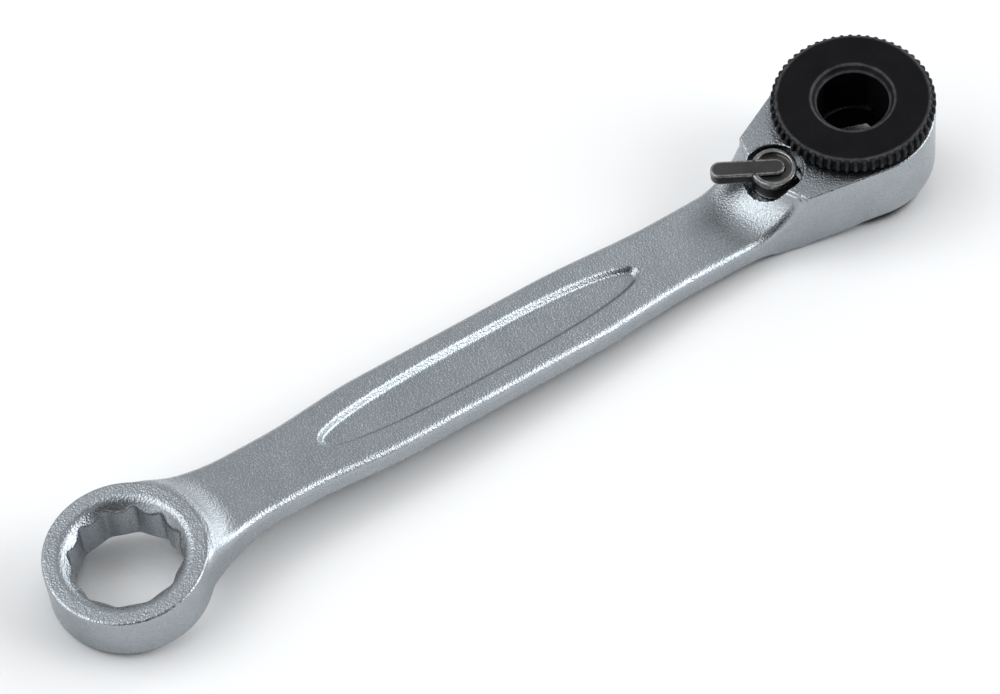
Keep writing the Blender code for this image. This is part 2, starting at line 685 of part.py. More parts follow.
def add_pawl(pin_axis, finish):
    """Make the pawl at one end of its rock, cut by the gear and by the plunger's path at each step of it."""
    pawl = prism("pawl", pawl_outline(), PAWL_BASE, PAWL_TOP, pin_axis, finish)
    pawl.rotation_euler.z = PAWL_ROCK
    seat = PIN_RADIUS + SEAT_GAP
    cut(pawl, stack("pawl_hole", [(seat, 0.0), (seat, HEAD_HEIGHT)], pin_axis, steps=SMALL_STEPS))
    for step in range(PAWL_SWEEP_STEPS + 1):
        turn = 2 * PAWL_ROCK * step / PAWL_SWEEP_STEPS
        pose = add_frame(f"pawl_pose_{step}", pin_axis, turn=turn)
        gear = prism(f"gear_path_{step}", gear_outline(SEAT_GAP / 2), 0.0, HEAD_HEIGHT, pose)
        gear.location.x = PIN_DISTANCE
        cut(pawl, gear)
        sweep = [(PLUNGER_SWEEP, 0.0), (PLUNGER_SWEEP, HEAD_HEIGHT)]
        stem = stack(f"stem_path_{step}", sweep, pose)
        stem.location.x = PIN_DISTANCE - LEVER_DISTANCE
        cut(pawl, stem)


def add_pawl_pin(pin_axis, finish):
    """Make the pin that the pawl rocks on."""
    base = POCKET_FLOOR - PIN_DEPTH + RUNNING_GAP
    rings = [(PIN_RADIUS, base), (PIN_RADIUS, POCKET_TOP - RUNNING_GAP)]
    stack("pawl_pin", rings, pin_axis, finish, steps=SMALL_STEPS)


# Lever and what turns with it

def add_lever(frame, plunger_axis, finish):
    """Make the lever: hub with a dished top, arm, stem, seal groove and plunger bore."""
    lever = stack("reversing_lever", [(HUB_RADIUS, HUB_BASE), (HUB_RADIUS, HUB_TOP)], frame, finish)
    stem = [(STEM_RADIUS, STEM_BASE), (STEM_RADIUS, HUB_BASE + HUB_HEIGHT / 2)]
    join(lever, stack("stem", stem, frame, steps=SMALL_STEPS))
    dish = HUB_RADIUS - HUB_RIM
    cut(lever, stack("hub_dish", [(dish, HUB_TOP - HUB_DISH), (dish, HUB_TOP + OVERCUT)], frame))
    bar = stadium(-ARM_LENGTH, ARM_INNER_END, ARM_HALF_WIDTH)
    join(lever, prism("arm", bar, HUB_TOP - ARM_THICKNESS, HUB_TOP + ARM_PROUD, frame))
    tall = SEAL_WIRE / 2 + SNUG_GAP
    cut(lever, ring_solid("seal_groove", SEAL_RADIUS - tall, HUB_POCKET_RADIUS,
                          SEAL_HEIGHT - tall, SEAL_HEIGHT + tall, frame))
    bore = [(PLUNGER_BORE_RADIUS, SPRING_SEAT), (PLUNGER_BORE_RADIUS, STEM_RADIUS + OVERCUT)]
    cut(lever, stack("plunger_bore", bore, plunger_axis, steps=SMALL_STEPS))


def add_lever_seal(frame, finish):
    """Make the rubber ring round the lever's stem."""
    wire("lever_o_ring", at_height(circle(SEAL_RADIUS, SMALL_STEPS), SEAL_HEIGHT), SEAL_WIRE, frame, finish, True)


def add_plunger(plunger_axis, finish):
    """Make the plunger with its round nose."""
    tip = STEM_RADIUS + PLUNGER_REACH
    rings = [(PLUNGER_RADIUS, tip - PLUNGER_LENGTH)]
    for step in range(EDGE_STEPS):
        angle = math.pi / 2 * step / EDGE_STEPS
        rings.append((PLUNGER_RADIUS * math.cos(angle), tip - PLUNGER_RADIUS * (1 - math.sin(angle))))
    rings.append((PLUNGER_RADIUS * math.cos(angle) / EDGE_STEPS, tip))
    stack("pawl_plunger", rings, plunger_axis, finish, steps=SMALL_STEPS // 2)


def add_spring(plunger_axis, finish):
    """Make the coil spring between the plunger and the end of its bore."""
    start = SPRING_SEAT + SPRING_WIRE / 2 + SNUG_GAP
    end = STEM_RADIUS + PLUNGER_REACH - PLUNGER_LENGTH - PLUNGER_STROKE - SPRING_WIRE / 2 - SNUG_GAP
    count = round(SPRING_TURNS * CURL_STEPS)
    points = []
    for step in range(count + 1):
        angle = math.tau * step / CURL_STEPS
        along = start + (end - start) * step / count
        points.append((SPRING_RADIUS * math.cos(angle), SPRING_RADIUS * math.sin(angle), along))
    wire("plunger_spring", points, SPRING_WIRE, plunger_axis, finish)


# Placing on the bench

def solid_points():
    """World points of every piece, as it is after its cuts."""
    bpy.context.view_layer.update()
    graph = bpy.context.evaluated_depsgraph_get()
    points = []
    for item in bpy.context.scene.objects:
        if item.type == "EMPTY" or item.hide_render:
            continue
        shape = item.evaluated_get(graph)
        points += [item.matrix_world @ vertex.co for vertex in shape.to_mesh().vertices]
        shape.to_mesh_clear()
    return points


def resting_lean(points):
    """Slope of the line that the tool lies on: the lower hull edge under the tool's middle, seen from the side."""
    hull = []
    for spot in sorted({(point.x, point.z) for point in points}):
        while len(hull) > 1:
            first = Vector(hull[-1]) - Vector(hull[-2])
            second = Vector(spot) - Vector(hull[-2])
            if first.x * second.y - first.y * second.x > 0:
                break
            hull.pop()
        hull.append(spot)
    middle = (hull[0][0] + hull[-1][0]) / 2
    for left, right in zip(hull, hull[1:]):
        if left[0] <= middle <= right[0]:
            return math.atan2(right[1] - left[1], right[0] - left[0])
    return 0.0


def lay_on_bench(tool):
    """Turn and move the tool so that it rests on z = 0 with the middle of its length at x = 0."""
    tool.rotation_euler.y = resting_lean(solid_points())
    points = solid_points()
    places = [point.x for point in points]
    tool.location.x = -(min(places) + max(places)) / 2
    tool.location.z = -min(point.z for point in points)


def main():
    """Build the tool."""
    clear_scene()
    steel = add_finish("satin_chrome", (0.50, 0.53, 0.55), 0.36, 1.0)
    black = add_finish("black_disc", (0.018, 0.018, 0.019), 0.55, 0.0)
    dark = add_finish("gunmetal_lever", (0.11, 0.11, 0.115), 0.34, 1.0)
    bright = add_finish("bright_steel", (0.56, 0.56, 0.57), 0.28, 1.0)
    spring = add_finish("spring_steel", (0.32, 0.32, 0.33), 0.30, 1.0)
    rubber = add_finish("black_rubber", (0.02, 0.02, 0.02), 0.7, 0.0)

    tool = add_frame("tool")
    ring_place = Vector((math.cos(BEND), 0, math.sin(BEND))) * -RING_REACH
    ring_frame = add_frame("ring_frame", tool, ring_place, -BEND)
    reach = Vector((math.cos(BEND), 0, math.sin(BEND))) * HEAD_REACH
    drop = Vector((-math.sin(BEND), 0, math.cos(BEND))) * HEAD_HEIGHT / 2
    head_frame = add_frame("head_frame", tool, Vector((HANDLE_RUN, 0, 0)) + reach - drop, -BEND)
    pin_axis = add_frame("pin_axis", head_frame, (-PIN_DISTANCE, 0, 0))
    lever_axis = add_frame("lever_axis", head_frame, (-LEVER_DISTANCE, 0, 0))
    lever_frame = add_frame("lever_frame", lever_axis, turn=-LEVER_SWING / 2)
    plunger_axis = add_frame("plunger_axis", lever_frame, (0, 0, PLUNGER_HEIGHT), lean=math.pi / 2)

    add_body(tool, ring_frame, head_frame, lever_axis, pin_axis, steel)
    add_gear(head_frame, bright)
    add_bit_clip(head_frame, spring)
    add_thumb_disc(head_frame, black)
    add_gear_keepers(head_frame, bright, spring)
    add_pawl(pin_axis, bright)
    add_pawl_pin(pin_axis, bright)
    add_lever(lever_frame, plunger_axis, dark)
    add_lever_seal(lever_frame, rubber)
    add_plunger(plunger_axis, bright)
    add_spring(plunger_axis, spring)
    lay_on_bench(tool)


main()
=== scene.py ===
"""Looks of a small bit ratchet: a flat forged handle with a ring at one end and a ratchet head at the other.

The forging and the lever are described as distance fields in millimetres, so that ramps, fillets and worn
edges run into each other as they do on a blasted forging, and are then skinned. The disc is turned, with
ridges set round its rim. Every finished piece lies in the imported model's frame, in metres.
"""

from __future__ import annotations

import json
import logging
import math
from dataclasses import dataclass, field
from enum import Enum
from typing import Any, Callable

import bmesh
import bpy
import numpy as np
from mathutils import Matrix, Vector

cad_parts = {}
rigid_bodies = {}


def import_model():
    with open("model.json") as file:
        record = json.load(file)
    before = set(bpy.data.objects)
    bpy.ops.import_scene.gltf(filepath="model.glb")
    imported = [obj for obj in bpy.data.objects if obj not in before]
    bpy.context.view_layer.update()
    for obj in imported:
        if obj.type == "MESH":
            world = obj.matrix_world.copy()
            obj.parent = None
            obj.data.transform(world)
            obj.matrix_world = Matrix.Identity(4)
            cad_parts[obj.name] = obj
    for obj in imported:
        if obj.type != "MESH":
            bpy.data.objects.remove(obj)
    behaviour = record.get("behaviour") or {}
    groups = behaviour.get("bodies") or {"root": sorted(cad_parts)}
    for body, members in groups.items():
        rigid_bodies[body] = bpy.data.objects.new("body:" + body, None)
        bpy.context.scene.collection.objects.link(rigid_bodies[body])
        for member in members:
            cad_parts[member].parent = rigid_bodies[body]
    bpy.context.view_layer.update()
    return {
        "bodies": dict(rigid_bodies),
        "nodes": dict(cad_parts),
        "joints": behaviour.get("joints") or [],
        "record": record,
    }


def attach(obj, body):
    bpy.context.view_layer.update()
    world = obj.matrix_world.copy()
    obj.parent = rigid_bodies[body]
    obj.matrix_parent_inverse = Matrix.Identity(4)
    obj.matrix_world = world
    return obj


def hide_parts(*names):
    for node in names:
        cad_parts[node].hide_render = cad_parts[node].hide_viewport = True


LOG = logging.getLogger("bit_ratchet")
MM = 0.001
TINY = 1e-12

Values = np.ndarray
Field = Callable[[Values, Values, Values], Values]
Pair = tuple[float, float]
Triple = tuple[float, float, float]
Socket = bpy.types.NodeSocket
Tree = bpy.types.NodeTree


class Body(Enum):
    """Moving bodies of the tool."""

    FORGING = "body"
    DRIVE = "drive"
    LEVER = "lever"


class Slot(Enum):
    """Finishes that the record names."""

    CHROME = "satin_chrome"
    BLACK = "black_disc"
    GUNMETAL = "gunmetal"
    BRIGHT = "bright_steel"
    SPRING = "spring_steel"
    RUBBER = "black_rubber"
    OXIDE = "black_oxide"


# Distance fields

def smooth_step(value: Values, start: float, end: float) -> Values:
    """Rise smoothly from 0 at start to 1 at end.

    Args:
        value: Places to look at.
        start: Place where the rise begins.
        end: Place where the rise ends.

    Returns:
        The share of the rise at each place.
    """
    share = np.clip((value - start) / (end - start), 0.0, 1.0)
    return share * share * (3.0 - 2.0 * share)


def round_max(first: Values, second: Values, radius: float) -> Values:
    """Keep what two fields share, with a rounded outer edge.

    Args:
        first: One field.
        second: The other field.
        radius: Radius of the edge.

    Returns:
        The joined field.
    """
    over = np.hypot(np.maximum(first + radius, 0.0), np.maximum(second + radius, 0.0))
    return np.minimum(np.maximum(first, second), -radius) + over


def round_min(first: Values, second: Values, radius: float) -> Values:
    """Join two fields with a hollow fillet.

    Args:
        first: One field.
        second: The other field.
        radius: Radius of the fillet.

    Returns:
        The joined field.
    """
    under = np.hypot(np.maximum(radius - first, 0.0), np.maximum(radius - second, 0.0))
    return np.maximum(np.minimum(first, second), radius) - under


def smooth_min(first: Values, second: Values, width: float) -> Values:
    """Take the lower of two heights and ease the crossing over a width."""
    share = np.clip(0.5 + 0.5 * (second - first) / width, 0.0, 1.0)
    return second + (first - second) * share - width * share * (1.0 - share)


def round_cut(solid: Values, cutter: Values, radius: float) -> Values:
    """Take a cutter out of a solid and round the edge that it leaves."""
    return round_max(solid, -cutter, radius)


def slab(height: Values, low: float, high: float) -> Values:
    """Field of the space between two heights."""
    return np.maximum(low - height, height - high)


def drum(x: Values, y: Values, height: Values, radius: float, low: float, high: float) -> Values:
    """Field of a plain cylinder about Z."""
    return np.maximum(np.hypot(x, y) - radius, slab(height, low, high))


def convex_outline(x: Values, y: Values, corners: list[Pair]) -> Values:
    """Field of a convex outline.

    Args:
        x: Places along X.
        y: Places along Y.
        corners: Corners of the outline, counter-clockwise.

    Returns:
        The outline's field.
    """
    result = np.full(np.broadcast(x, y).shape, -np.inf, dtype=np.float32)
    for (x0, y0), (x1, y1) in zip(corners, corners[1:] + corners[:1]):
        length = math.hypot(x1 - x0, y1 - y0)
        nx, ny = (y1 - y0) / length, (x0 - x1) / length
        result = np.maximum(result, (x - x0) * nx + (y - y0) * ny)
    return result


@dataclass
class Skinner:
    """Turns a field into a closed mesh whose points lie on the field's surface."""

    low: Triple
    high: Triple
    pitch: float
    edge_depth: float
    keep: float = 1.0
    settle_rounds: int = 3
    probe: float = 0.02
    columns: int = 64
    least_steepness: float = 0.1
    flat_share: float = 0.97
    edge_gain: float = 4.0

    def skin(self, name: str, shape: Field, outside: Field, place: Matrix) -> bpy.types.Object:
        """Skin a field.

        Args:
            name: Name of the new object.
            shape: The field, in millimetres.
            outside: The field without its inner hollows, which says where hands rub.
            place: Where the field's frame lies, in metres.

        Returns:
            The new object, with an edge mask and a grain mask on its points.
        """
        grid = self.sample(shape)
        inside = grid < 0.0
        points, order = self.cell_points(grid, inside)
        quads = self.crossing_quads(inside, order)
        mesh = self.as_mesh(name, self.settle(points, shape), quads)
        item = bpy.data.objects.new(name, mesh)
        bpy.context.scene.collection.objects.link(item)
        if self.keep < 1.0:
            mesh = self.thin(item)
        self.finish(mesh, shape, outside, place)
        return item

    def sample(self, shape: Field) -> Values:
        """Work out the field on the whole grid, a few columns at a time.

        Args:
            shape: The field.

        Returns:
            Field values on the grid.
        """
        axes = []
        for start, end in zip(self.low, self.high):
            axes.append(np.arange(start, end + self.pitch, self.pitch, dtype=np.float32))
        y, z = axes[1][None, :, None], axes[2][None, None, :]
        starts = range(0, len(axes[0]), self.columns)
        parts = [shape(axes[0][start:start + self.columns, None, None], y, z) for start in starts]
        return np.concatenate([part.astype(np.float32) for part in parts])

    def thin(self, item: bpy.types.Object) -> bpy.types.Mesh:
        """Merge small faces where the surface is nearly flat.

        Args:
            item: The skinned object, which gets the thinned mesh.

        Returns:
            The thinned mesh.
        """
        modifier = item.modifiers.new("thin", "DECIMATE")
        modifier.ratio = self.keep
        graph = bpy.context.evaluated_depsgraph_get()
        mesh = bpy.data.meshes.new_from_object(item.evaluated_get(graph))
        item.modifiers.remove(modifier)
        spent = item.data
        item.data = mesh
        bpy.data.meshes.remove(spent)
        return mesh

    def finish(self, mesh: bpy.types.Mesh, shape: Field, outside: Field, place: Matrix) -> None:
        """Settle a mesh on its field once more, give it smooth directions and masks, and set it in its place.

        Args:
            mesh: The mesh, in millimetres.
            shape: The field.
            outside: The field without its inner hollows.
            place: Where the field's frame lies, in metres.
        """
        points = np.empty(len(mesh.vertices) * 3, dtype=np.float32)
        mesh.vertices.foreach_get("co", points)
        points = self.settle(points.reshape(-1, 3).astype(float), shape)
        normals = self.weighted_normals(mesh, points)
        turn = np.array(place.to_3x3())
        spots = points * MM @ turn.T + np.array(place.translation)
        mesh.vertices.foreach_set("co", spots.astype(np.float32).ravel())
        mesh.update()
        mesh.shade_smooth()
        mesh.normals_split_custom_set_from_vertices((normals @ turn.T).tolist())
        self.add_mask(mesh, "edge", self.edge_mask(points, normals, outside))
        self.add_mask(mesh, "upward", np.clip(normals[:, 2], 0.0, 1.0))

    @staticmethod
    def weighted_normals(mesh: bpy.types.Mesh, points: Values) -> Values:
        """Outward direction at each point, in which large faces count for more than small ones.

        Args:
            mesh: The mesh.
            points: Its points.

        Returns:
            One direction for each point.
        """
        mesh.calc_loop_triangles()
        corners = np.empty(len(mesh.loop_triangles) * 3, dtype=np.int32)
        mesh.loop_triangles.foreach_get("vertices", corners)
        corners = corners.reshape(-1, 3)
        first, second, third = (points[corners[:, index]] for index in range(3))
        faces = np.cross(second - first, third - first)
        total = np.zeros_like(points)
        for index in range(3):
            np.add.at(total, corners[:, index], faces)
        return total / np.maximum(np.linalg.norm(total, axis=1, keepdims=True), TINY)

    def cell_points(self, grid: Values, inside: Values) -> tuple[Values, Values]:
        """Find the cells that the surface passes through and one point in each.

        Args:
            grid: Field values on the grid.
            inside: Where those values are inside the solid.

        Returns:
            The points, and the number of each cell's point.
        """
        count = np.zeros(tuple(size - 1 for size in inside.shape), dtype=np.int8)
        corners = [(i, j, k) for i in (0, 1) for j in (0, 1) for k in (0, 1)]
        for corner in corners:
            count += inside[self.shifted(corner)]
        cells = np.argwhere((count > 0) & (count < len(corners)))
        order = np.full(count.shape, -1, dtype=np.int32)
        order[tuple(cells.T)] = np.arange(len(cells))
        values = {corner: grid[tuple((cells + corner).T)] for corner in corners}
        total = np.zeros((len(cells), 3))
        hits = np.zeros(len(cells))
        for start in corners:
            for axis in range(3):
                if start[axis]:
                    continue
                end = tuple(1 if index == axis else part for index, part in enumerate(start))
                first, last = values[start], values[end]
                crossed = (first < 0.0) != (last < 0.0)
                share = np.where(crossed, first / np.where(crossed, first - last, 1.0), 0.0)
                spot = np.tile(np.array(start, dtype=float), (len(cells), 1))
                spot[:, axis] += share
                total[crossed] += spot[crossed]
                hits[crossed] += 1.0
        points = np.array(self.low) + (cells + total / hits[:, None]) * self.pitch
        return points, order

    @staticmethod
    def shifted(corner: tuple[int, int, int]) -> tuple[slice, ...]:
        """Slices that pick one corner of every cell."""
        return tuple(slice(1, None) if part else slice(None, -1) for part in corner)

    @staticmethod
    def crossing_quads(inside: Values, order: Values) -> Values:
        """Make one quad round every grid edge that crosses the surface.

        Args:
            inside: Where the grid lies inside the solid.
            order: Number of each cell's point.

        Returns:
            Four point numbers for each quad.
        """
        quads = []
        for axis in range(3):
            before = [slice(1, -1)] * 3
            after = [slice(1, -1)] * 3
            before[axis] = slice(None, -1)
            after[axis] = slice(1, None)
            leaving = inside[tuple(before)] & ~inside[tuple(after)]
            entering = ~inside[tuple(before)] & inside[tuple(after)]
            second, third = (axis + 1) % 3, (axis + 2) % 3
            for mask, turn in ((leaving, 1), (entering, -1)):
                spots = np.argwhere(mask)
                ring = []
                for step_two, step_three in ((0, 0), (1, 0), (1, 1), (0, 1))[::turn]:
                    shifted = spots.copy()
                    shifted[:, second] += step_two
                    shifted[:, third] += step_three
                    ring.append(order[tuple(shifted.T)])
                quads.append(np.stack(ring, axis=1))
        return np.concatenate(quads)

    def slope(self, points: Values, shape: Field) -> Values:
        """Slope of the field at points.

        Args:
            points: The points.
            shape: The field.

        Returns:
            One vector for each point.
        """
        result = np.zeros_like(points)
        for axis in range(3):
            step = np.zeros(3)
            step[axis] = self.probe
            rise = shape(*(points + step).T) - shape(*(points - step).T)
            result[:, axis] = rise / (2.0 * self.probe)
        return result

    def settle(self, points: Values, shape: Field) -> Values:
        """Move points onto the surface.

        Args:
            points: Points near the surface.
            shape: The field.

        Returns:
            The moved points.
        """
        most = self.pitch / 2.0
        for _ in range(self.settle_rounds):
            slope = self.slope(points, shape)
            steep = np.maximum((slope ** 2).sum(axis=1), self.least_steepness)
            step = slope * (shape(*points.T) / steep)[:, None]
            points = points - np.clip(step, -most, most)
        return points

    def edge_mask(self, points: Values, normals: Values, shape: Field) -> Values:
        """Say how sharp the outer edge is at each point.

        Args:
            points: Points on the surface.
            normals: Outward directions there.
            shape: The field without its inner hollows.

        Returns:
            0 on flat and hollow places, up to 1 on outer edges.
        """
        below = -shape(*(points - normals * self.edge_depth).T) / self.edge_depth
        return np.clip((self.flat_share - below) * self.edge_gain, 0.0, 1.0)

    @staticmethod
    def as_mesh(name: str, points: Values, quads: Values) -> bpy.types.Mesh:
        """Write points and quads into a mesh.

        Args:
            name: Name of the mesh.
            points: Points in millimetres.
            quads: Four point numbers for each quad.

        Returns:
            The mesh.
        """
        mesh = bpy.data.meshes.new(name)
        mesh.vertices.add(len(points))
        mesh.vertices.foreach_set("co", points.astype(np.float32).ravel())
        mesh.loops.add(quads.size)
        mesh.loops.foreach_set("vertex_index", quads.astype(np.int32).ravel())
        mesh.polygons.add(len(quads))
        mesh.polygons.foreach_set("loop_start", np.arange(0, quads.size, 4, dtype=np.int32))
        mesh.update(calc_edges=True)
        mesh.validate()
        return mesh

    @staticmethod
    def add_mask(mesh: bpy.types.Mesh, name: str, values: Values) -> None:
        """Store one number for each point of a mesh."""
        layer = mesh.attributes.new(name, "FLOAT", "POINT")
        layer.data.foreach_set("value", values.astype(np.float32))


# Node trees

def new_group(name: str, kind: str, inputs: dict[str, str], outputs: dict[str, str]) -> Tree:
    """Make a node group that has its sockets but no nodes yet.

    Args:
        name: Name of the group.
        kind: Kind of its tree.
        inputs: Name and type of each input.
        outputs: Name and type of each output.

    Returns:
        The group.
    """
    tree = bpy.data.node_groups.new(name, kind)
    for way, sockets in (("INPUT", inputs), ("OUTPUT", outputs)):
        for label, made in sockets.items():
            tree.interface.new_socket(label, in_out=way, socket_type="NodeSocket" + made)
    return tree


@dataclass
class NodeKit:
    """Short ways to add and join nodes in one tree."""

    tree: Tree

    def add(self, kind: str, **settings: Any) -> bpy.types.Node:
        """Add a node and set its properties.

        Args:
            kind: Kind of the node.
            **settings: Its properties.

        Returns:
            The node.
        """
        node = self.tree.nodes.new(kind)
        for name, value in settings.items():
            setattr(node, name, value)
        return node

    def link(self, source: Socket, target: Socket) -> None:
        """Join two sockets."""
        self.tree.links.new(source, target)

    def feed(self, target: Socket, part: Any) -> None:
        """Give a socket what it takes.

        Args:
            target: The socket.
            part: Another socket, a colour or a number.
        """
        if isinstance(part, Socket):
            self.link(part, target)
        else:
            target.default_value = (*part, 1.0) if isinstance(part, tuple) else part

    def scaled(self, given: bpy.types.Node) -> Socket:
        """Multiply a group's Vector by its Scale.

        Args:
            given: The group's input node.

        Returns:
            The scaled vector.
        """
        node = self.add("ShaderNodeVectorMath", operation="SCALE")
        self.link(given.outputs["Vector"], node.inputs[0])
        self.link(given.outputs["Scale"], node.inputs["Scale"])
        return node.outputs["Vector"]

    def cells(self, vector: Socket, scale: float) -> bpy.types.Node:
        """Add a pattern of cells.

        Args:
            vector: Place in the pattern.
            scale: Cells in one unit of length.

        Returns:
            The pattern's node.
        """
        node = self.add("ShaderNodeTexVoronoi", feature="F1")
        node.inputs["Scale"].default_value = scale
        self.link(vector, node.inputs["Vector"])
        return node

    def noise(self, vector: Socket, scale: float, detail: float, rough: float) -> Socket:
        """Add a noise pattern.

        Args:
            vector: Place in the pattern.
            scale: Scale of the pattern.
            detail: Number of finer layers.
            rough: Strength of the finer layers.

        Returns:
            The pattern's value.
        """
        node = self.add("ShaderNodeTexNoise")
        node.inputs["Scale"].default_value = scale
        node.inputs["Detail"].default_value = detail
        node.inputs["Roughness"].default_value = rough
        self.link(vector, node.inputs["Vector"])
        return node.outputs["Fac"]

    def ramp(self, value: Socket, low: float, high: float, out_low: float = 0.0,
             out_high: float = 1.0) -> Socket:
        """Stretch a value from one span to another and return it.

        Args:
            value: Value to stretch.
            low: Start of its span.
            high: End of its span.
            out_low: What the start becomes.
            out_high: What the end becomes.

        Returns:
            The stretched value.
        """
        node = self.add("ShaderNodeMapRange", clamp=True)
        names = ("From Min", "From Max", "To Min", "To Max")
        for name, number in zip(names, (low, high, out_low, out_high)):
            node.inputs[name].default_value = number
        self.link(value, node.inputs["Value"])
        return node.outputs["Result"]

    def math(self, operation: str, first: Any, second: Any) -> Socket:
        """Combine two values, each a socket or a number.

        Args:
            operation: What is done with them.
            first: One value.
            second: The other value.

        Returns:
            The result.
        """
        node = self.add("ShaderNodeMath", operation=operation)
        for slot, part in zip(node.inputs, (first, second)):
            self.feed(slot, part)
        return node.outputs["Value"]

    def mix(self, share: Any, first: Any, second: Any) -> Socket:
        """Mix two colours, each a socket or red, green and blue.

        Args:
            share: Share of the second colour.
            first: One colour.
            second: The other colour.

        Returns:
            The mixed colour.
        """
        node = self.add("ShaderNodeMix", data_type="RGBA")
        for index, part in ((0, share), (6, first), (7, second)):
            self.feed(node.inputs[index], part)
        return node.outputs[2]


# Shapes

@dataclass(frozen=True)
class Gears:
    """Sizes of the head's inside, in millimetres above its underside and from the drive axis."""

    floor: float = 1.0
    gear_top: float = 4.65
    head_top: float = 6.85
    disc_base: float = 7.15
    disc_top: float = 8.65
    lever_distance: float = 9.10
    pin_distance: float = 6.33
    bore: float = 5.7
    mouth: float = 4.65
    mouth_overlap: float = 1.0
    groove_depth: float = 0.5
    groove_heights: Pair = (5.55, 6.45)
    pocket_angle: float = math.radians(36.0)
    pocket_room: float = 0.1
    pocket_radii: Pair = (4.91, 7.03)
    pocket_back: Pair = (-7.9, 2.45)
    pocket_lift: float = 0.15
    pocket_headroom: float = 0.3
    plunger_room: float = 1.9
    plunger_heights: Pair = (2.62, 3.76)
    pin_radius: float = 0.52
    pin_heights: Pair = (0.6, 2.0)
    below: float = -5.0
    above: float = 20.0


@dataclass
class Forging:
    """The one-piece forging: ring, handle and head. Sizes are in millimetres."""

    gears: Gears = field(default_factory=Gears)
    bend: float = math.radians(13.5)
    run: float = 55.8
    half_thickness: float = 1.15
    edge: float = 0.7
    lower_edge: float = 0.5
    grip: float = 4.12
    ring_waist: float = 3.48
    head_waist: float = 3.58
    ring_waist_end: float = 8.5
    grip_start: float = 19.0
    grip_end: float = 38.0
    head_waist_start: float = 50.5
    head_ramp_length: float = 5.6
    head_ramp_radius: float = 5.0
    ring_ramp_length: float = 2.6
    ring_ramp_radius: float = 4.6
    ring_ramp_fade: float = 0.7
    ring_ramp_sides: Pair = (2.2, 5.5)
    hollow_limit: float = 0.97
    underside_length: float = 7.0
    underside_radius: float = 20.0
    heel_length: float = 4.4
    heel_radius: float = 9.0
    heel_depth: float = 1.75
    ring_inset: float = 0.15
    ring_top_inset: float = 0.08
    ring_ease: float = 0.35
    head_inset: float = 0.3
    flank_blend: float = 0.9
    flank_inset: float = 0.26
    recess_middle: float = 29.1
    recess_length: float = 17.1
    recess_width: float = 2.25
    recess_depth: float = 0.5
    recess_wall: float = 0.58
    recess_fullness: float = 2.5
    recess_core: float = 1e-6
    ring_flats: float = 8.07
    ring_wall: float = 1.94
    ring_height: float = 4.75
    ring_knee: float = 0.5
    ring_fillet: float = 20.0
    ring_chamfer: float = 0.45
    ring_upper_edge: float = 0.2
    ring_lower_edge: float = 0.55
    star_turns: Pair = (45.0, 75.0)
    star_point: float = 0.2
    star_crest: float = 0.3
    star_rim: float = 0.14
    upper_lead_in: float = 0.28
    lower_lead_in: float = 0.2
    ring_joint: float = 0.15
    head_joint: float = 0.25
    bar_overlap: float = 7.2
    bar_end: float = 2.0
    head_radius: float = 7.05
    flank_angle: float = math.radians(18.2)
    head_lower_edge: float = 0.95
    head_back_edge: float = 2.5
    head_upper_edge: float = 0.15
    head_neck: float = 5.2
    back_land: float = 1.0
    hub_pocket: float = 2.53
    hub_floor: float = 4.9
    stem_bore: float = 1.6
    lever_floor: float = 2.0
    hub_rim: float = 0.12
    bore_rim: float = 0.06
    low: Triple = (-14.2, -7.6, -6.0)
    high: Triple = (78.2, 7.6, 9.4)
    pitch: float = 0.13
    edge_depth: float = 0.6
    keep: float = 0.48

    @property
    def ring_tip(self) -> float:
        """Radius of the ring's twelve points."""
        return self.ring_flats / 2.0 / math.cos(math.radians(30))

    @property
    def ring_radius(self) -> float:
        """Outer radius of the ring."""
        return self.ring_tip + self.ring_wall

    @property
    def ring_reach(self) -> float:
        """Distance from the handle's knee to the ring's middle."""
        return self.ring_radius + self.ring_knee

    @property
    def head_back(self) -> float:
        """Radius of the head's back edge about the drive axis."""
        return self.gears.lever_distance + self.back_land

    @property
    def head_reach(self) -> float:
        """Distance from the handle's other knee to the drive axis."""
        return self.head_back + self.head_neck

    @property
    def head_step(self) -> float:
        """Place along the handle where the head's back edge stands."""
        return self.run + self.head_neck * math.cos(self.bend)

    def head_in_tool(self) -> Matrix:
        """Find the head in the handle's frame.

        Returns:
            Frame of the head, in metres.
        """
        along = Vector((math.cos(self.bend), 0.0, math.sin(self.bend)))
        upward = Vector((-math.sin(self.bend), 0.0, math.cos(self.bend)))
        spot = Vector((self.run, 0.0, 0.0)) + along * self.head_reach - upward * self.gears.head_top / 2.0
        return Matrix.Translation(spot * MM) @ Matrix.Rotation(-self.bend, 4, "Y")

    def leaned(self, x: Values, z: Values, spot: Pair) -> tuple[Values, Values]:
        """Carry places of the handle's frame into a frame that leans with ring and head.

        Args:
            x: Places along the handle.
            z: Heights.
            spot: Origin of the leaning frame.

        Returns:
            Places along and across the leaning frame.
        """
        dx, dz = x - spot[0], z - spot[1]
        cosine, sine = math.cos(self.bend), math.sin(self.bend)
        return dx * cosine + dz * sine, dz * cosine - dx * sine

    def ring_side(self, x: Values) -> Values:
        """Half-width where the handle runs out into the ring.

        Args:
            x: Places along the handle.

        Returns:
            The half-width at each place.
        """
        along = x / math.cos(self.bend) + self.ring_reach
        inside = self.ring_radius - self.ring_inset
        outer = inside + self.ring_fillet
        centre = math.sqrt(outer ** 2 - (self.ring_waist + self.ring_fillet) ** 2)
        touch = centre * inside / outer
        on_ring = np.sqrt(np.maximum(inside ** 2 - along ** 2, 0.0))
        drop = np.sqrt(self.ring_fillet ** 2 - np.clip(centre - along, 0.0, self.ring_fillet) ** 2)
        return np.where(along <= touch, on_ring, self.ring_waist + self.ring_fillet - drop)

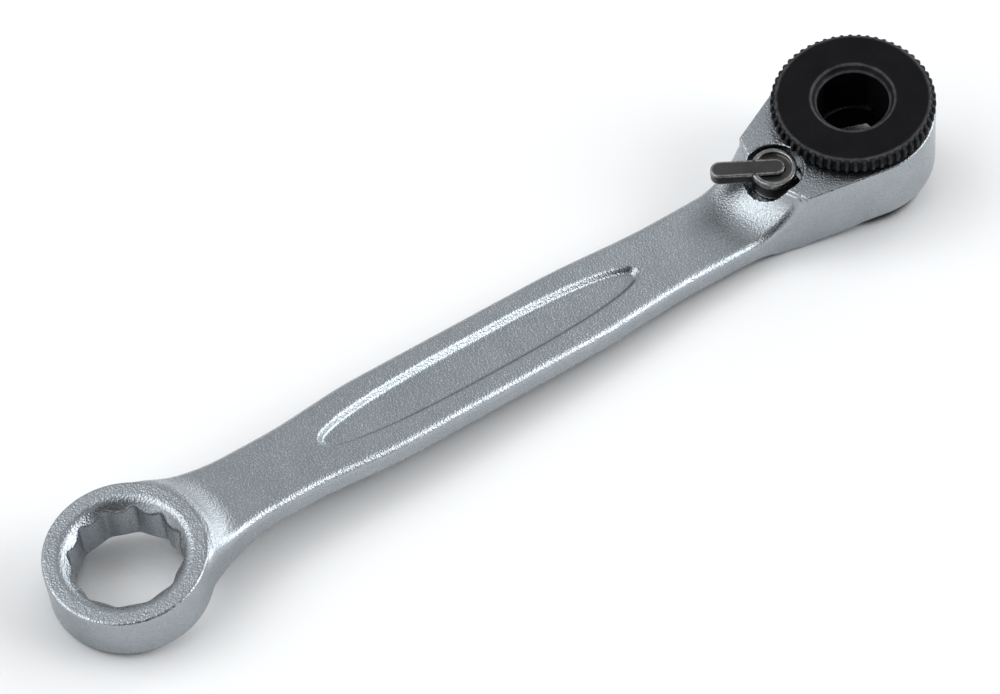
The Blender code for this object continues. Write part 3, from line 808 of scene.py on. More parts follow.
    def half_width(self, x: Values) -> Values:
        """Half-width of the handle.

        Args:
            x: Places along the handle.

        Returns:
            The half-width at each place.
        """
        swell = smooth_step(x, self.ring_waist_end, self.grip_start) * (self.grip - self.ring_waist)
        shrink = smooth_step(x, self.grip_end, self.head_waist_start) * (self.grip - self.head_waist)
        bar = self.ring_side(x) + swell - shrink
        along = (x - self.run) / math.cos(self.bend) - self.head_reach
        flank = (self.head_radius + math.sin(self.flank_angle) * along) / math.cos(self.flank_angle)
        flank = flank - self.flank_inset
        return (bar + flank + np.hypot(bar - flank, self.flank_blend)) / 2.0

    def hollow(self, radius: float, distance: Values) -> Values:
        """Rise of a hollow round corner at a distance from where it leaves the flat."""
        reach = np.clip(distance, 0.0, radius * self.hollow_limit)
        return radius - np.sqrt(radius ** 2 - reach ** 2)

    def recess(self, x: Values, y: Values) -> Values:
        """Depth of the lens-shaped recess in the handle's top.

        Args:
            x: Places along the handle.
            y: Places across it.

        Returns:
            The depth at each place.
        """
        power = self.recess_fullness
        across = np.abs(x - self.recess_middle) / self.recess_length
        beside = np.abs(y) / self.recess_width
        level = np.maximum((across ** power + beside ** power) ** (1.0 / power), self.recess_core)
        along_slope = (across / level) ** (power - 1.0) / self.recess_length
        side_slope = (beside / level) ** (power - 1.0) / self.recess_width
        least_slope = 0.5 / self.recess_length
        inward = (1.0 - level) / np.maximum(np.hypot(along_slope, side_slope), least_slope)
        share = np.clip(inward / self.recess_wall, 0.0, 1.0)
        return self.recess_depth * (share + smooth_step(share, 0.0, 1.0)) / 2.0

    def top(self, x: Values, y: Values) -> Values:
        """Height of the handle's top, with its ramps up to ring and head and its recess.

        Args:
            x: Places along the handle.
            y: Places across it.

        Returns:
            The height at each place.
        """
        flat = self.half_thickness
        back = self.head_back
        curve = back - np.sqrt(np.maximum(back ** 2 - y ** 2, 0.0))
        past_start = x - self.head_step + self.head_ramp_length - curve
        to_head = flat + self.hollow(self.head_ramp_radius, past_start)
        from_ring = np.hypot(x / math.cos(self.bend) + self.ring_reach, y) - self.ring_radius
        from_ring = from_ring + self.ring_ramp_fade * smooth_step(np.abs(y), *self.ring_ramp_sides)
        to_ring = flat + self.hollow(self.ring_ramp_radius, self.ring_ramp_length - from_ring)
        lean = math.tan(self.bend)
        head_top = (x - self.run) * lean + self.gears.head_top / 2.0 / math.cos(self.bend) - self.head_inset
        ring_top = x * lean + self.ring_height / 2.0 / math.cos(self.bend) - self.ring_top_inset
        near_head = np.minimum(to_head, np.maximum(flat, head_top))
        near_ring = smooth_min(to_ring, ring_top, self.ring_ease)
        return np.where(x > self.run / 2.0, near_head, near_ring) - self.recess(x, y)

    def bottom(self, x: Values) -> Values:
        """Height of the handle's underside, which runs down towards ring and head.

        Args:
            x: Places along the handle.

        Returns:
            The height at each place.
        """
        flat = -self.half_thickness
        lean, level = math.tan(self.bend), math.cos(self.bend)
        ring_bottom = x * lean - self.ring_height / 2.0 / level + self.ring_inset
        head_bottom = (x - self.run) * lean - self.gears.head_top / 2.0 / level + self.head_inset
        drop = self.hollow(self.underside_radius, self.underside_length - x)
        heel = self.hollow(self.heel_radius, x - self.head_step + self.heel_length)
        near_ring = np.minimum(flat, np.maximum(flat - drop, ring_bottom))
        near_head = np.maximum(np.maximum(flat - heel, head_bottom), -self.heel_depth)
        return np.where(x > self.run / 2.0, near_head, near_ring)

    def handle_field(self, x: Values, y: Values, z: Values) -> Values:
        """Field of the bar between ring and head.

        Args:
            x: Places along X.
            y: Places along Y.
            z: Heights.

        Returns:
            The field's values.
        """
        start = -self.ring_reach * math.cos(self.bend) + self.ring_radius / 3.0
        end = self.head_step + self.bar_overlap
        side = np.abs(y) - self.half_width(x)
        upper = round_max(side, z - self.top(x, y), self.edge)
        bar = round_max(upper, self.bottom(x) - z, self.lower_edge)
        return round_max(round_max(bar, start - x, self.bar_end), x - end, self.bar_end)

    def ring_field(self, x: Values, y: Values, z: Values) -> Values:
        """Field of the ring's outside, in the ring's frame.

        Args:
            x: Places along X.
            y: Places along Y.
            z: Heights.

        Returns:
            The field's values.
        """
        side = np.hypot(x, y) - self.ring_radius
        half = self.ring_height / 2.0
        upper = round_max(side, z - half, self.ring_upper_edge)
        return round_max(upper, -half - z, self.ring_lower_edge)

    def ring_star(self, x: Values, y: Values) -> Values:
        """Field of the twelve-point hole, in the ring's frame.

        Args:
            x: Places along X.
            y: Places along Y.

        Returns:
            The field's values.
        """
        hexagons = []
        for turn in self.star_turns:
            faces = []
            for step in range(3):
                angle = math.radians(turn + 60.0 * step)
                faces.append(np.abs(x * math.cos(angle) + y * math.sin(angle)) - self.ring_flats / 2.0)
            four_sides = round_max(faces[0], faces[1], self.star_point)
            hexagons.append(round_max(four_sides, faces[2], self.star_point))
        return round_min(*hexagons, self.star_crest)

    def ring_cones(self, x: Values, y: Values, z: Values) -> tuple[Values, Values]:
        """Fields of the lead-ins of the ring's hole, in the ring's frame.

        Args:
            x: Places along X.
            y: Places along Y.
            z: Heights.

        Returns:
            The upper and the lower lead-in.
        """
        half = self.ring_height / 2.0
        radius = np.hypot(x, y)
        slant = math.sqrt(0.5)
        upper = (radius - self.ring_tip - self.ring_chamfer - (z - half)) * slant
        lower = (radius - self.ring_tip - self.ring_chamfer / 2.0 - (-half - z)) * slant
        return upper, lower

    def head_field(self, x: Values, y: Values, z: Values) -> Values:
        """Field of the head's outside, in the head's frame.

        Args:
            x: Places along X.
            y: Places along Y.
            z: Heights.

        Returns:
            The field's values.
        """
        cosine, sine = math.cos(self.flank_angle), math.sin(self.flank_angle)
        beside = np.abs(y)
        radius = np.hypot(x, y)
        ahead = x * cosine + beside * sine > 0.0
        flank = np.where(ahead, radius - self.head_radius, beside * cosine - x * sine - self.head_radius)
        back = np.where(x < 0.0, radius - self.head_back, -self.head_back)
        front = round_max(flank, -z, self.head_lower_edge)
        rear = round_max(back, -z, self.head_back_edge)
        return round_max(np.maximum(front, rear), z - self.gears.head_top, self.head_upper_edge)

    def pawl_room(self, x: Values, y: Values, z: Values) -> Values:
        """Field of the pawl's pocket, in the head's frame.

        Args:
            x: Places along X.
            y: Places along Y.
            z: Heights.

        Returns:
            The field's values.
        """
        g = self.gears
        side = math.pi - g.pocket_angle - g.pocket_room
        corners = [(radius * math.cos(side), radius * math.sin(side)) for radius in g.pocket_radii]
        corners.append(g.pocket_back)
        outline = corners + [(px, -py) for px, py in reversed(corners)]
        between = slab(z, g.floor + g.pocket_lift, g.gear_top + g.pocket_headroom)
        return np.maximum(convex_outline(x, y, outline), between)

    def mechanism(self, x: Values, y: Values, z: Values) -> Values:
        """Field of the bores and pockets in the head, in the head's frame.

        Args:
            x: Places along X.
            y: Places along Y.
            z: Heights.

        Returns:
            The field's values.
        """
        g = self.gears
        result = drum(x, y, z, g.bore, g.floor, g.above)
        result = np.minimum(result, drum(x, y, z, g.mouth, g.below, g.floor + g.mouth_overlap))
        result = np.minimum(result, drum(x, y, z, g.bore + g.groove_depth, *g.groove_heights))
        result = np.minimum(result, self.pawl_room(x, y, z))
        behind = x + g.lever_distance
        result = np.minimum(result, drum(behind, y, z, self.stem_bore, self.lever_floor, g.above))
        window = np.maximum(drum(behind, y, z, g.plunger_room, *g.plunger_heights), -behind)
        result = np.minimum(result, window)
        return np.minimum(result, drum(x + g.pin_distance, y, z, g.pin_radius, *g.pin_heights))

    def hub_room(self, x: Values, y: Values, z: Values) -> Values:
        """Field of the open pocket round the lever's hub, in the head's frame."""
        g = self.gears
        return drum(x + g.lever_distance, y, z, self.hub_pocket, self.hub_floor, g.above)

    def head_places(self, x: Values, z: Values) -> tuple[Values, Values]:
        """Carry places of the handle's frame into the head's frame."""
        spot = self.head_in_tool().translation / MM
        return self.leaned(x, z, (spot.x, spot.z))

    def outside(self, x: Values, y: Values, z: Values) -> Values:
        """Field of the forging before its head is bored, in the handle's frame.

        Args:
            x: Places along X.
            y: Places along Y.
            z: Heights.

        Returns:
            The field's values.
        """
        reach = self.ring_reach
        rx, rz = self.leaned(x, z, (-reach * math.cos(self.bend), -reach * math.sin(self.bend)))
        hx, hz = self.head_places(x, z)
        solid = self.handle_field(x, y, z)
        solid = round_min(solid, self.ring_field(rx, y, rz), self.ring_joint)
        solid = round_min(solid, self.head_field(hx, y, hz), self.head_joint)
        upper, lower = self.ring_cones(rx, y, rz)
        solid = round_cut(solid, upper, self.upper_lead_in)
        solid = round_cut(solid, lower, self.lower_lead_in)
        return round_cut(solid, self.ring_star(rx, y), self.star_rim)

    def field(self, x: Values, y: Values, z: Values) -> Values:
        """Field of the whole forging, in the handle's frame.

        Args:
            x: Places along X.
            y: Places along Y.
            z: Heights.

        Returns:
            The field's values.
        """
        hx, hz = self.head_places(x, z)
        solid = round_cut(self.outside(x, y, z), self.hub_room(hx, y, hz), self.hub_rim)
        return round_cut(solid, self.mechanism(hx, y, hz), self.bore_rim)

    def build(self, tool: Matrix) -> bpy.types.Object:
        """Skin the forging.

        Args:
            tool: Frame of the handle, in metres.

        Returns:
            The forging.
        """
        skinner = Skinner(self.low, self.high, self.pitch, self.edge_depth, self.keep)
        return skinner.skin("forging", self.field, self.outside, tool)


@dataclass
class Lever:
    """The reversing lever: dished hub with a bar across it and a stem below. Sizes are in millimetres."""

    hub_radius: float = 1.98
    hub_base: float = 5.05
    hub_top: float = 7.12
    rim: float = 0.42
    dish: float = 0.4
    collar: float = 0.62
    arm_length: float = 5.4
    arm_inner: float = 1.0
    arm_half_width: float = 0.82
    arm_thickness: float = 1.1
    arm_proud: float = 0.05
    stem_radius: float = 1.45
    stem_base: float = 2.3
    seal_height: float = 4.4
    bore_height: float = 3.19
    bore_radius: float = 0.54
    bore_start: float = -1.05
    bevel: float = 0.12
    skirt_inset: float = 0.07
    skirt_drop: float = 0.1
    stem_overlap: float = 0.5
    dish_edge: float = 0.08
    dish_clearance: float = 9.0
    arm_lower_edge: float = 0.1
    arm_joint: float = 0.05
    seal_seat: float = 1.13
    seal_half: float = 0.23
    low: Triple = (-5.7, -2.3, 2.0)
    high: Triple = (2.3, 2.3, 7.5)
    pitch: float = 0.06
    edge_depth: float = 0.25

    def field(self, x: Values, y: Values, z: Values) -> Values:
        """Field of the lever about its own axis, with the arm along -X.

        Args:
            x: Places along X.
            y: Places along Y.
            z: Heights.

        Returns:
            The field's values.
        """
        radius = np.hypot(x, y)
        top = self.hub_top
        hub = round_max(radius - self.hub_radius, z - top, self.bevel)
        hub = np.maximum(hub, top - self.collar - z)
        below = slab(z, self.hub_base, top - self.skirt_drop)
        solid = np.minimum(hub, np.maximum(radius - self.hub_radius + self.skirt_inset, below))
        stem = drum(x, y, z, self.stem_radius, self.stem_base, self.hub_base + self.stem_overlap)
        solid = np.minimum(solid, stem)
        dish = drum(x, y, z, self.hub_radius - self.rim, top - self.dish, top + self.dish_clearance)
        solid = round_cut(solid, dish, self.dish_edge)
        near = np.clip(x, self.arm_half_width - self.arm_length, self.arm_inner - self.arm_half_width)
        bar = np.hypot(x - near, y) - self.arm_half_width
        bar = round_max(bar, z - top - self.arm_proud, self.bevel)
        bar = round_max(bar, top - self.arm_thickness - z, self.arm_lower_edge)
        solid = round_min(solid, bar, self.arm_joint)
        beside_seal = slab(z, self.seal_height - self.seal_half, self.seal_height + self.seal_half)
        solid = np.maximum(solid, -np.maximum(self.seal_seat - radius, beside_seal))
        bore = np.maximum(np.hypot(y, z - self.bore_height) - self.bore_radius, self.bore_start - x)
        return np.maximum(solid, -bore)

    def build(self, place: Matrix) -> bpy.types.Object:
        """Skin the lever.

        Args:
            place: Frame of the lever, in metres.

        Returns:
            The lever.
        """
        skinner = Skinner(self.low, self.high, self.pitch, self.edge_depth)
        return skinner.skin("lever", self.field, self.field, place)


def finished_turning(shape: bmesh.types.BMesh, name: str, sharp: float, place: Matrix) -> bpy.types.Object:
    """Turn a drawn shape into a smooth-shaded object.

    Args:
        shape: The drawn shape, in metres.
        name: Name of the object.
        sharp: Angle in degrees above which an edge stays sharp.
        place: Where the shape's frame lies.

    Returns:
        The object.
    """
    bmesh.ops.recalc_face_normals(shape, faces=shape.faces)
    mesh = bpy.data.meshes.new(name)
    shape.to_mesh(mesh)
    shape.free()
    mesh.shade_smooth()
    mesh.set_sharp_from_angle(angle=math.radians(sharp))
    mesh.transform(place)
    item = bpy.data.objects.new(name, mesh)
    bpy.context.scene.collection.objects.link(item)
    return item


@dataclass
class Disc:
    """The knurled thumb disc: a turned plate with ridges round its rim. Sizes are in millimetres."""

    gears: Gears = field(default_factory=Gears)
    radius: float = 7.09
    ridge_depth: float = 0.3
    ridges: int = 58
    edge: float = 0.4
    hole: float = 3.1
    hole_chamfer: float = 0.5
    hub: float = 5.3
    seat: float = 4.65
    seat_top: float = 7.95
    hub_base: float = 6.45
    turns: int = 232
    soft: float = 0.07
    plate_sharp: float = 50.0
    ridge_root: float = 0.12
    ridge_foot: float = 0.1
    ridge_sharp: float = 60.0
    ridge_section: tuple[Pair, ...] = (
        (-0.25, 0.0), (-0.19, 0.6), (-0.11, 0.94), (0.0, 1.0), (0.11, 0.94), (0.19, 0.6), (0.25, 0.0),
    )

    def profile(self) -> list[Triple]:
        """Outline of the turned plate: up the hole, over the top, round the rim and back to the seat.

        Returns:
            Radius, height and edge mark of each point. The edge mark paints a highlight, with a little rubbed
            wear, along the hole's lip, its chamfer and the top's outer brow.
        """
        base, top, soft = self.gears.disc_base, self.gears.disc_top, self.soft
        rim = self.radius - self.ridge_depth
        brow = self.radius - self.edge
        shoulder = top - self.edge
        mouth = self.hole + self.hole_chamfer
        lip = top - self.hole_chamfer
        return [
            (self.hole, self.seat_top, 0.0),
            (self.hole, lip - 3.0 * soft, 0.0),
            (self.hole, lip - soft, 0.8),
            (self.hole + soft, lip, 1.0),
            (self.hole + 3.0 * soft, lip + 2.0 * soft, 0.25),
            (mouth - 2.0 * soft, top - 2.0 * soft, 0.25),
            (mouth - soft, top - soft, 0.9),
            (mouth + soft / 2.0, top, 0.9),
            (mouth + 3.0 * soft, top, 0.0),
            (brow - 5.0 * soft, top, 0.0),
            (brow - 2.0 * soft, top, 0.8),
            (brow - soft / 2.0, top - soft / 2.0, 1.0),
            (brow + soft, top - 2.0 * soft, 0.7),
            (rim - soft / 2.0, shoulder + soft / 2.0, 0.0),
            (rim, shoulder - soft, 0.0),
            (rim, base + self.edge, 0.0),
            (brow, base, 0.0),
            (self.hub, base, 0.0),
            (self.hub, self.hub_base, 0.0),
            (self.seat, self.hub_base, 0.0),
            (self.seat, self.seat_top, 0.0),
        ]

    def build_plate(self, place: Matrix) -> bpy.types.Object:
        """Turn the plate.

        Args:
            place: Frame of the head, in metres.

        Returns:
            The plate.
        """
        shape = bmesh.new()
        # The edge layer carries the painted highlights, with a little rubbed wear, of the plate's edges.
        highlight_and_rub_marks = shape.verts.layers.float.new("edge")
        rings = []
        for step in range(self.turns):
            angle = math.tau * step / self.turns
            ring = []
            for radius, height, mark in self.profile():
                across, along = radius * math.cos(angle) * MM, radius * math.sin(angle) * MM
                corner = shape.verts.new((across, along, height * MM))
                corner[highlight_and_rub_marks] = mark
                ring.append(corner)
            rings.append(ring)
        for first, second in zip(rings, rings[1:] + rings[:1]):
            for a, b, c, d in zip(first, first[1:] + first[:1], second[1:] + second[:1], second):
                shape.faces.new((a, b, c, d))
        return finished_turning(shape, "disc_plate", self.plate_sharp, place)

    def ridge(self) -> bpy.types.Object:
        """Draw one ridge at +X: a bar with a rounded crest whose ends follow the plate's bevels.

        Returns:
            The ridge.
        """
        base, top = self.gears.disc_base, self.gears.disc_top
        lower, upper = base + self.edge, top - self.edge
        root = self.radius - self.ridge_depth - self.ridge_root
        crest = self.radius
        brow = self.radius - self.edge
        # Height and reach of each row, from the lower bevel to the upper one
        rows = [
            (base + 0.06, brow + 0.05),
            (lower - 0.05, crest - 0.03),
            (lower + 0.1, crest),
            (upper - 0.1, crest),
            (upper + 0.06, crest - 0.04),
            (top - 0.05, brow + 0.04),
        ]
        shape = bmesh.new()
        highlight_and_rub_marks = shape.verts.layers.float.new("edge")
        loops = []
        for height, reach in rows:
            foot = min(root, reach - self.ridge_foot)
            line = []
            for beside, share in self.ridge_section:
                corner = shape.verts.new(Vector((foot + (reach - foot) * share, beside, height)) * MM)
                # Crest points get edge marks, which paint a highlight along each ridge's crest.
                corner[highlight_and_rub_marks] = max(0.0, share - 0.5)
                line.append(corner)
            loops.append(line)
        for first, second in zip(loops, loops[1:]):
            for a, b, c, d in zip(first, first[1:], second[1:], second):
                shape.faces.new((a, b, c, d))
            shape.faces.new((first[-1], first[0], second[0], second[-1]))
        shape.faces.new(loops[0])
        shape.faces.new(loops[-1])
        return finished_turning(shape, "disc_ridge", self.ridge_sharp, Matrix())

    def build_ridges(self, place: Matrix, finish: bpy.types.Material) -> bpy.types.Object:
        """Set the ridges round the rim.

        Args:
            place: Frame of the head, in metres.
            finish: Material of the ridges.

        Returns:
            The ridges, as one plain mesh.
        """
        ridge = self.ridge()
        tree = RidgeRing().tree()
        carrier = bpy.data.objects.new("ridge_carrier", bpy.data.meshes.new("ridge_carrier"))
        bpy.context.scene.collection.objects.link(carrier)
        modifier = carrier.modifiers.new("ridges", "NODES")
        modifier.node_group = tree
        given = {"Ridge": ridge, "Count": self.ridges, "Finish": finish}
        for socket in tree.interface.items_tree:
            if socket.name in given:
                modifier[socket.identifier] = given[socket.name]
        graph = bpy.context.evaluated_depsgraph_get()
        mesh = bpy.data.meshes.new_from_object(carrier.evaluated_get(graph))
        mesh.name = "disc_ridges"
        carrier.modifiers.remove(modifier)
        for spent in (carrier, ridge):
            bpy.data.objects.remove(spent, do_unlink=True)
        mesh.transform(place)
        item = bpy.data.objects.new("disc_ridges", mesh)
        bpy.context.scene.collection.objects.link(item)
        return item


@dataclass
class RidgeRing:
    """Node tree that sets copies of a ridge round Z."""

    name: str = "ridge_ring"

    def tree(self) -> Tree:
        """Build the tree.

        Returns:
            A tree with the inputs Ridge, Count and Finish.
        """
        inputs = {"Ridge": "Object", "Count": "Int", "Finish": "Material"}
        tree = new_group(self.name, "GeometryNodeTree", inputs, {"Geometry": "Geometry"})
        kit = NodeKit(tree)
        given = kit.add("NodeGroupInput").outputs
        made = kit.add("NodeGroupOutput")
        info = kit.add("GeometryNodeObjectInfo")
        points = kit.add("GeometryNodePoints")
        index = kit.add("GeometryNodeInputIndex").outputs["Index"]
        spin = kit.add("ShaderNodeCombineXYZ")
        placed = kit.add("GeometryNodeInstanceOnPoints")
        real = kit.add("GeometryNodeRealizeInstances")
        painted = kit.add("GeometryNodeSetMaterial")
        turn = kit.math("MULTIPLY", kit.math("DIVIDE", index, given["Count"]), math.tau)
        kit.link(given["Ridge"], info.inputs["Object"])
        kit.link(given["Count"], points.inputs["Count"])
        kit.link(turn, spin.inputs["Z"])
        kit.link(points.outputs["Points"], placed.inputs["Points"])
        kit.link(info.outputs["Geometry"], placed.inputs["Instance"])
        kit.link(spin.outputs["Vector"], placed.inputs["Rotation"])
        kit.link(placed.outputs["Instances"], real.inputs["Geometry"])
        kit.link(real.outputs["Geometry"], painted.inputs["Geometry"])
        kit.link(given["Finish"], painted.inputs["Material"])
        kit.link(painted.outputs["Geometry"], made.inputs["Geometry"])
        return tree


# Finishes

@dataclass(frozen=True)
class GrainGroup:
    """Shader group for a blasted or cast skin: fine height, bright flecks, slow clouds and dark pits."""

    cell_share: float = 0.5
    rough_share: float = 0.5
    rough_noise: Triple = (1.2, 3.0, 0.65)
    cloud_noise: Triple = (0.06, 3.0, 0.55)
    cloud_span: Pair = (0.3, 0.7)
    crystal_scale: float = 1.5
    fleck_lot: Pair = (0.84, 0.9)
    fleck_reach: Pair = (0.5, 0.2)
    pit_lot: Pair = (0.965, 0.97)
    pit_reach: Pair = (0.45, 0.3)

    def build(self) -> Tree:
        """Make the group.

        Returns:
            A group with the inputs Vector and Scale and the outputs Height, Flecks, Clouds and Pits.
        """
        outputs = dict.fromkeys(("Height", "Flecks", "Clouds", "Pits"), "Float")
        tree = new_group("blasted_grain", "ShaderNodeTree", {"Vector": "Vector", "Scale": "Float"}, outputs)
        kit = NodeKit(tree)
        spot = kit.scaled(kit.add("NodeGroupInput"))
        made = kit.add("NodeGroupOutput")
        bumps = kit.math("MULTIPLY", kit.cells(spot, 1.0).outputs["Distance"], self.cell_share)
        rough = kit.math("MULTIPLY", kit.noise(spot, *self.rough_noise), self.rough_share)
        crystals = kit.cells(spot, self.crystal_scale).outputs
        lot = kit.add("ShaderNodeSeparateColor")
        kit.link(crystals["Color"], lot.inputs["Color"])
        flecked = kit.ramp(lot.outputs["Red"], *self.fleck_lot)
        pitted = kit.ramp(lot.outputs["Green"], *self.pit_lot)
        values = {
            "Height": kit.math("ADD", bumps, rough),
            "Flecks": kit.math("MULTIPLY", flecked, kit.ramp(crystals["Distance"], *self.fleck_reach)),
            "Clouds": kit.ramp(kit.noise(spot, *self.cloud_noise), *self.cloud_span),
            "Pits": kit.math("MULTIPLY", pitted, kit.ramp(crystals["Distance"], *self.pit_reach)),
        }
        for name, value in values.items():
            kit.link(value, made.inputs[name])
        return tree


@dataclass(frozen=True)
class EdgeGroup:
    """Shader group for edges that are made bright from the points' edge mask with a broken border: rubbed
    wear on the metal pieces, and on the black disc painted highlights along its edges and ridge crests with a
    little rubbed wear.
    """

    patch_noise: Triple = (1.0, 2.0, 0.6)
    patch_span: Pair = (0.3, 0.7)
    patch_share: Pair = (0.55, 1.2)
    wear_span: Pair = (0.15, 0.85)

    def build(self) -> Tree:
        """Make the group.

        Returns:
            A group with the inputs Vector, Scale and Amount and the output Wear.
        """
        inputs = {"Vector": "Vector", "Scale": "Float", "Amount": "Float"}
        tree = new_group("rubbed_and_highlit_edges", "ShaderNodeTree", inputs, {"RubAndHighlight": "Float"})
        kit = NodeKit(tree)
        given = kit.add("NodeGroupInput")
        made = kit.add("NodeGroupOutput")
        mask = kit.add("ShaderNodeAttribute", attribute_name="edge").outputs["Fac"]
        noise = kit.noise(kit.scaled(given), *self.patch_noise)
        patchy = kit.ramp(noise, *self.patch_span, *self.patch_share)
        worn = kit.math("MULTIPLY", kit.math("MULTIPLY", mask, patchy), given.outputs["Amount"])
        kit.link(kit.ramp(worn, *self.wear_span), made.inputs["RubAndHighlight"])
        return tree


@dataclass(frozen=True)
class Primer:
    """What every finish starts from: a material with its shader, its grain and its rubbed edges."""

    material: bpy.types.Material
    kit: NodeKit
    shader: bpy.types.Node
    grain: bpy.types.Node
    rub: bpy.types.Node


@dataclass(frozen=True)
class Finish:
    """A finish with a fine grain and edges that are rubbed. Its grain is sized in metres."""

    slot: Slot
    colour: Triple
    bright: Triple
    rough: float
    grain_scale: float
    grain_depth: float
    height_span: Pair = (0.3, 0.7)
    rough_span: Pair = (0.85, 1.15)

    def prime(self, grain: Tree, edges: Tree, metallic: float, rub_share: float, wear: float) -> Primer:
        """Make the material with its grain and its rubbed edges.

        Args:
            grain: Group for the skin's grain.
            edges: Group for rubbed edges.
            metallic: 1 for bare metal, 0 for a coating.
            rub_share: Scale of the rubbed patches, as a share of the grain's scale.
            wear: How far the edges are rubbed.

        Returns:
            What the finish goes on from.
        """
        material = bpy.data.materials.new(self.slot.value)
        material.use_nodes = True
        kit = NodeKit(material.node_tree)
        shader = material.node_tree.nodes["Principled BSDF"]
        shader.inputs["Metallic"].default_value = metallic
        place = kit.add("ShaderNodeTexCoord").outputs["Object"]
        skin = kit.add("ShaderNodeGroup", node_tree=grain)
        rub = kit.add("ShaderNodeGroup", node_tree=edges)
        for node, scale in ((skin, self.grain_scale), (rub, self.grain_scale * rub_share)):
            kit.link(place, node.inputs["Vector"])
            node.inputs["Scale"].default_value = scale
        rub.inputs["Amount"].default_value = wear
        return Primer(material, kit, shader, skin, rub)

    def uneven(self, primer: Primer) -> Socket:
        """Roughness that follows the grain's height."""
        smooth, coarse = (self.rough * share for share in self.rough_span)
        return primer.kit.ramp(primer.grain.outputs["Height"], *self.height_span, smooth, coarse)

    def add_bump(self, primer: Primer) -> bpy.types.Node:
        """Let the grain stand out of the surface.

        Args:
            primer: What the finish starts from.

        Returns:
            The node that lifts the grain.
        """
        bump = primer.kit.add("ShaderNodeBump")
        bump.inputs["Distance"].default_value = self.grain_depth
        primer.kit.link(primer.grain.outputs["Height"], bump.inputs["Height"])
        primer.kit.link(bump.outputs["Normal"], primer.shader.inputs["Normal"])
        return bump


@dataclass(frozen=True)
class Metal(Finish):
    """A metal finish: bright flecks, polished edges, and grain all over or mostly on faces that look up."""

    rough_span: Pair = (0.85, 1.12)
    edge_rough: float = 0.2
    fleck: float = 0.2
    wear: float = 0.3
    top_only: bool = False
    pits: float = 0.0
    pit_tone: float = 0.35
    cloud_share: float = 0.12
    rub_share: float = 0.4
    rubbed_grain: float = 0.6
    upward_span: Pair = (0.25, 0.75)
    side_grain: float = 0.22

    def build(self, grain: Tree, edges: Tree) -> bpy.types.Material:
        """Make the material.

        Args:
            grain: Group for the skin's grain.
            edges: Group for rubbed edges.

        Returns:
            The material.
        """
        primer = self.prime(grain, edges, 1.0, self.rub_share, self.wear)
        kit, skin, shader = primer.kit, primer.grain.outputs, primer.shader
        worn = primer.rub.outputs["RubAndHighlight"]
        share = self.coverage(kit)
        flecks = kit.math("MULTIPLY", kit.math("MULTIPLY", skin["Flecks"], share), self.fleck)
        toned = kit.mix(kit.math("MULTIPLY", skin["Clouds"], self.cloud_share), self.colour, self.bright)
        toned = kit.mix(flecks, toned, self.bright)
        toned = kit.mix(worn, toned, self.bright)
        dark = tuple(part * self.pit_tone for part in self.colour)
        bare = kit.math("MULTIPLY", kit.math("SUBTRACT", 1.0, share), skin["Pits"])
        toned = kit.mix(kit.math("MULTIPLY", bare, self.pits), toned, dark)
        kit.link(toned, shader.inputs["Base Color"])
        polished = kit.add("ShaderNodeMix", data_type="FLOAT")
        for index, part in ((0, worn), (2, self.uneven(primer)), (3, self.edge_rough)):
            kit.feed(polished.inputs[index], part)
        kit.link(polished.outputs[0], shader.inputs["Roughness"])
        kit.link(share, self.add_bump(primer).inputs["Strength"])
        return primer.material

    def coverage(self, kit: NodeKit) -> Socket:
        """Share of the grain that a place carries: all over, or mostly on faces that look up.

        Args:
            kit: Kit of the material's tree.

        Returns:
            The share.
        """
        mask = kit.add("ShaderNodeAttribute", attribute_name="upward" if self.top_only else "edge")
        if self.top_only:
            return kit.ramp(mask.outputs["Fac"], *self.upward_span, self.side_grain, 1.0)
        return kit.ramp(mask.outputs["Fac"], 0.0, 1.0, 1.0, self.rubbed_grain)


@dataclass(frozen=True)
class Coating(Finish):
    """A dull dark finish: matte black coating, blackened steel or rubber."""

    shine: float = 0.3
    cloud_share: float = 0.2
    fleck: float = 0.3
    rub_share: float = 0.2
    # Gain of the lighter edge colour; on the disc it is painted highlight with a little rubbed wear.
    rub_and_highlight_gain: float = 4.0
    relief: float = 0.8

    def build(self, grain: Tree, edges: Tree) -> bpy.types.Material:
        """Make the material.

        Args:
            grain: Group for the skin's grain.
            edges: Group for rubbed edges, which on the disc paints highlights along its edges and ridge
                crests.

        Returns:
            The material.
        """
        primer = self.prime(grain, edges, 0.0, self.rub_share, 1.0)
        kit, skin, shader = primer.kit, primer.grain.outputs, primer.shader
        shader.inputs["Specular IOR Level"].default_value = self.shine
        toned = kit.mix(kit.math("MULTIPLY", skin["Clouds"], self.cloud_share), self.colour, self.bright)
        toned = kit.mix(kit.math("MULTIPLY", skin["Flecks"], self.fleck), toned, self.bright)
        # On the black disc this mix paints highlights: its marked edges and ridge crests turn lighter grey,
        # with a little rubbed wear.
        rubbed = tuple(part * self.rub_and_highlight_gain for part in self.bright)
        toned = kit.mix(primer.rub.outputs["RubAndHighlight"], toned, rubbed)
        kit.link(toned, shader.inputs["Base Color"])
        kit.link(self.uneven(primer), shader.inputs["Roughness"])
        self.add_bump(primer).inputs["Strength"].default_value = self.relief
        return primer.material


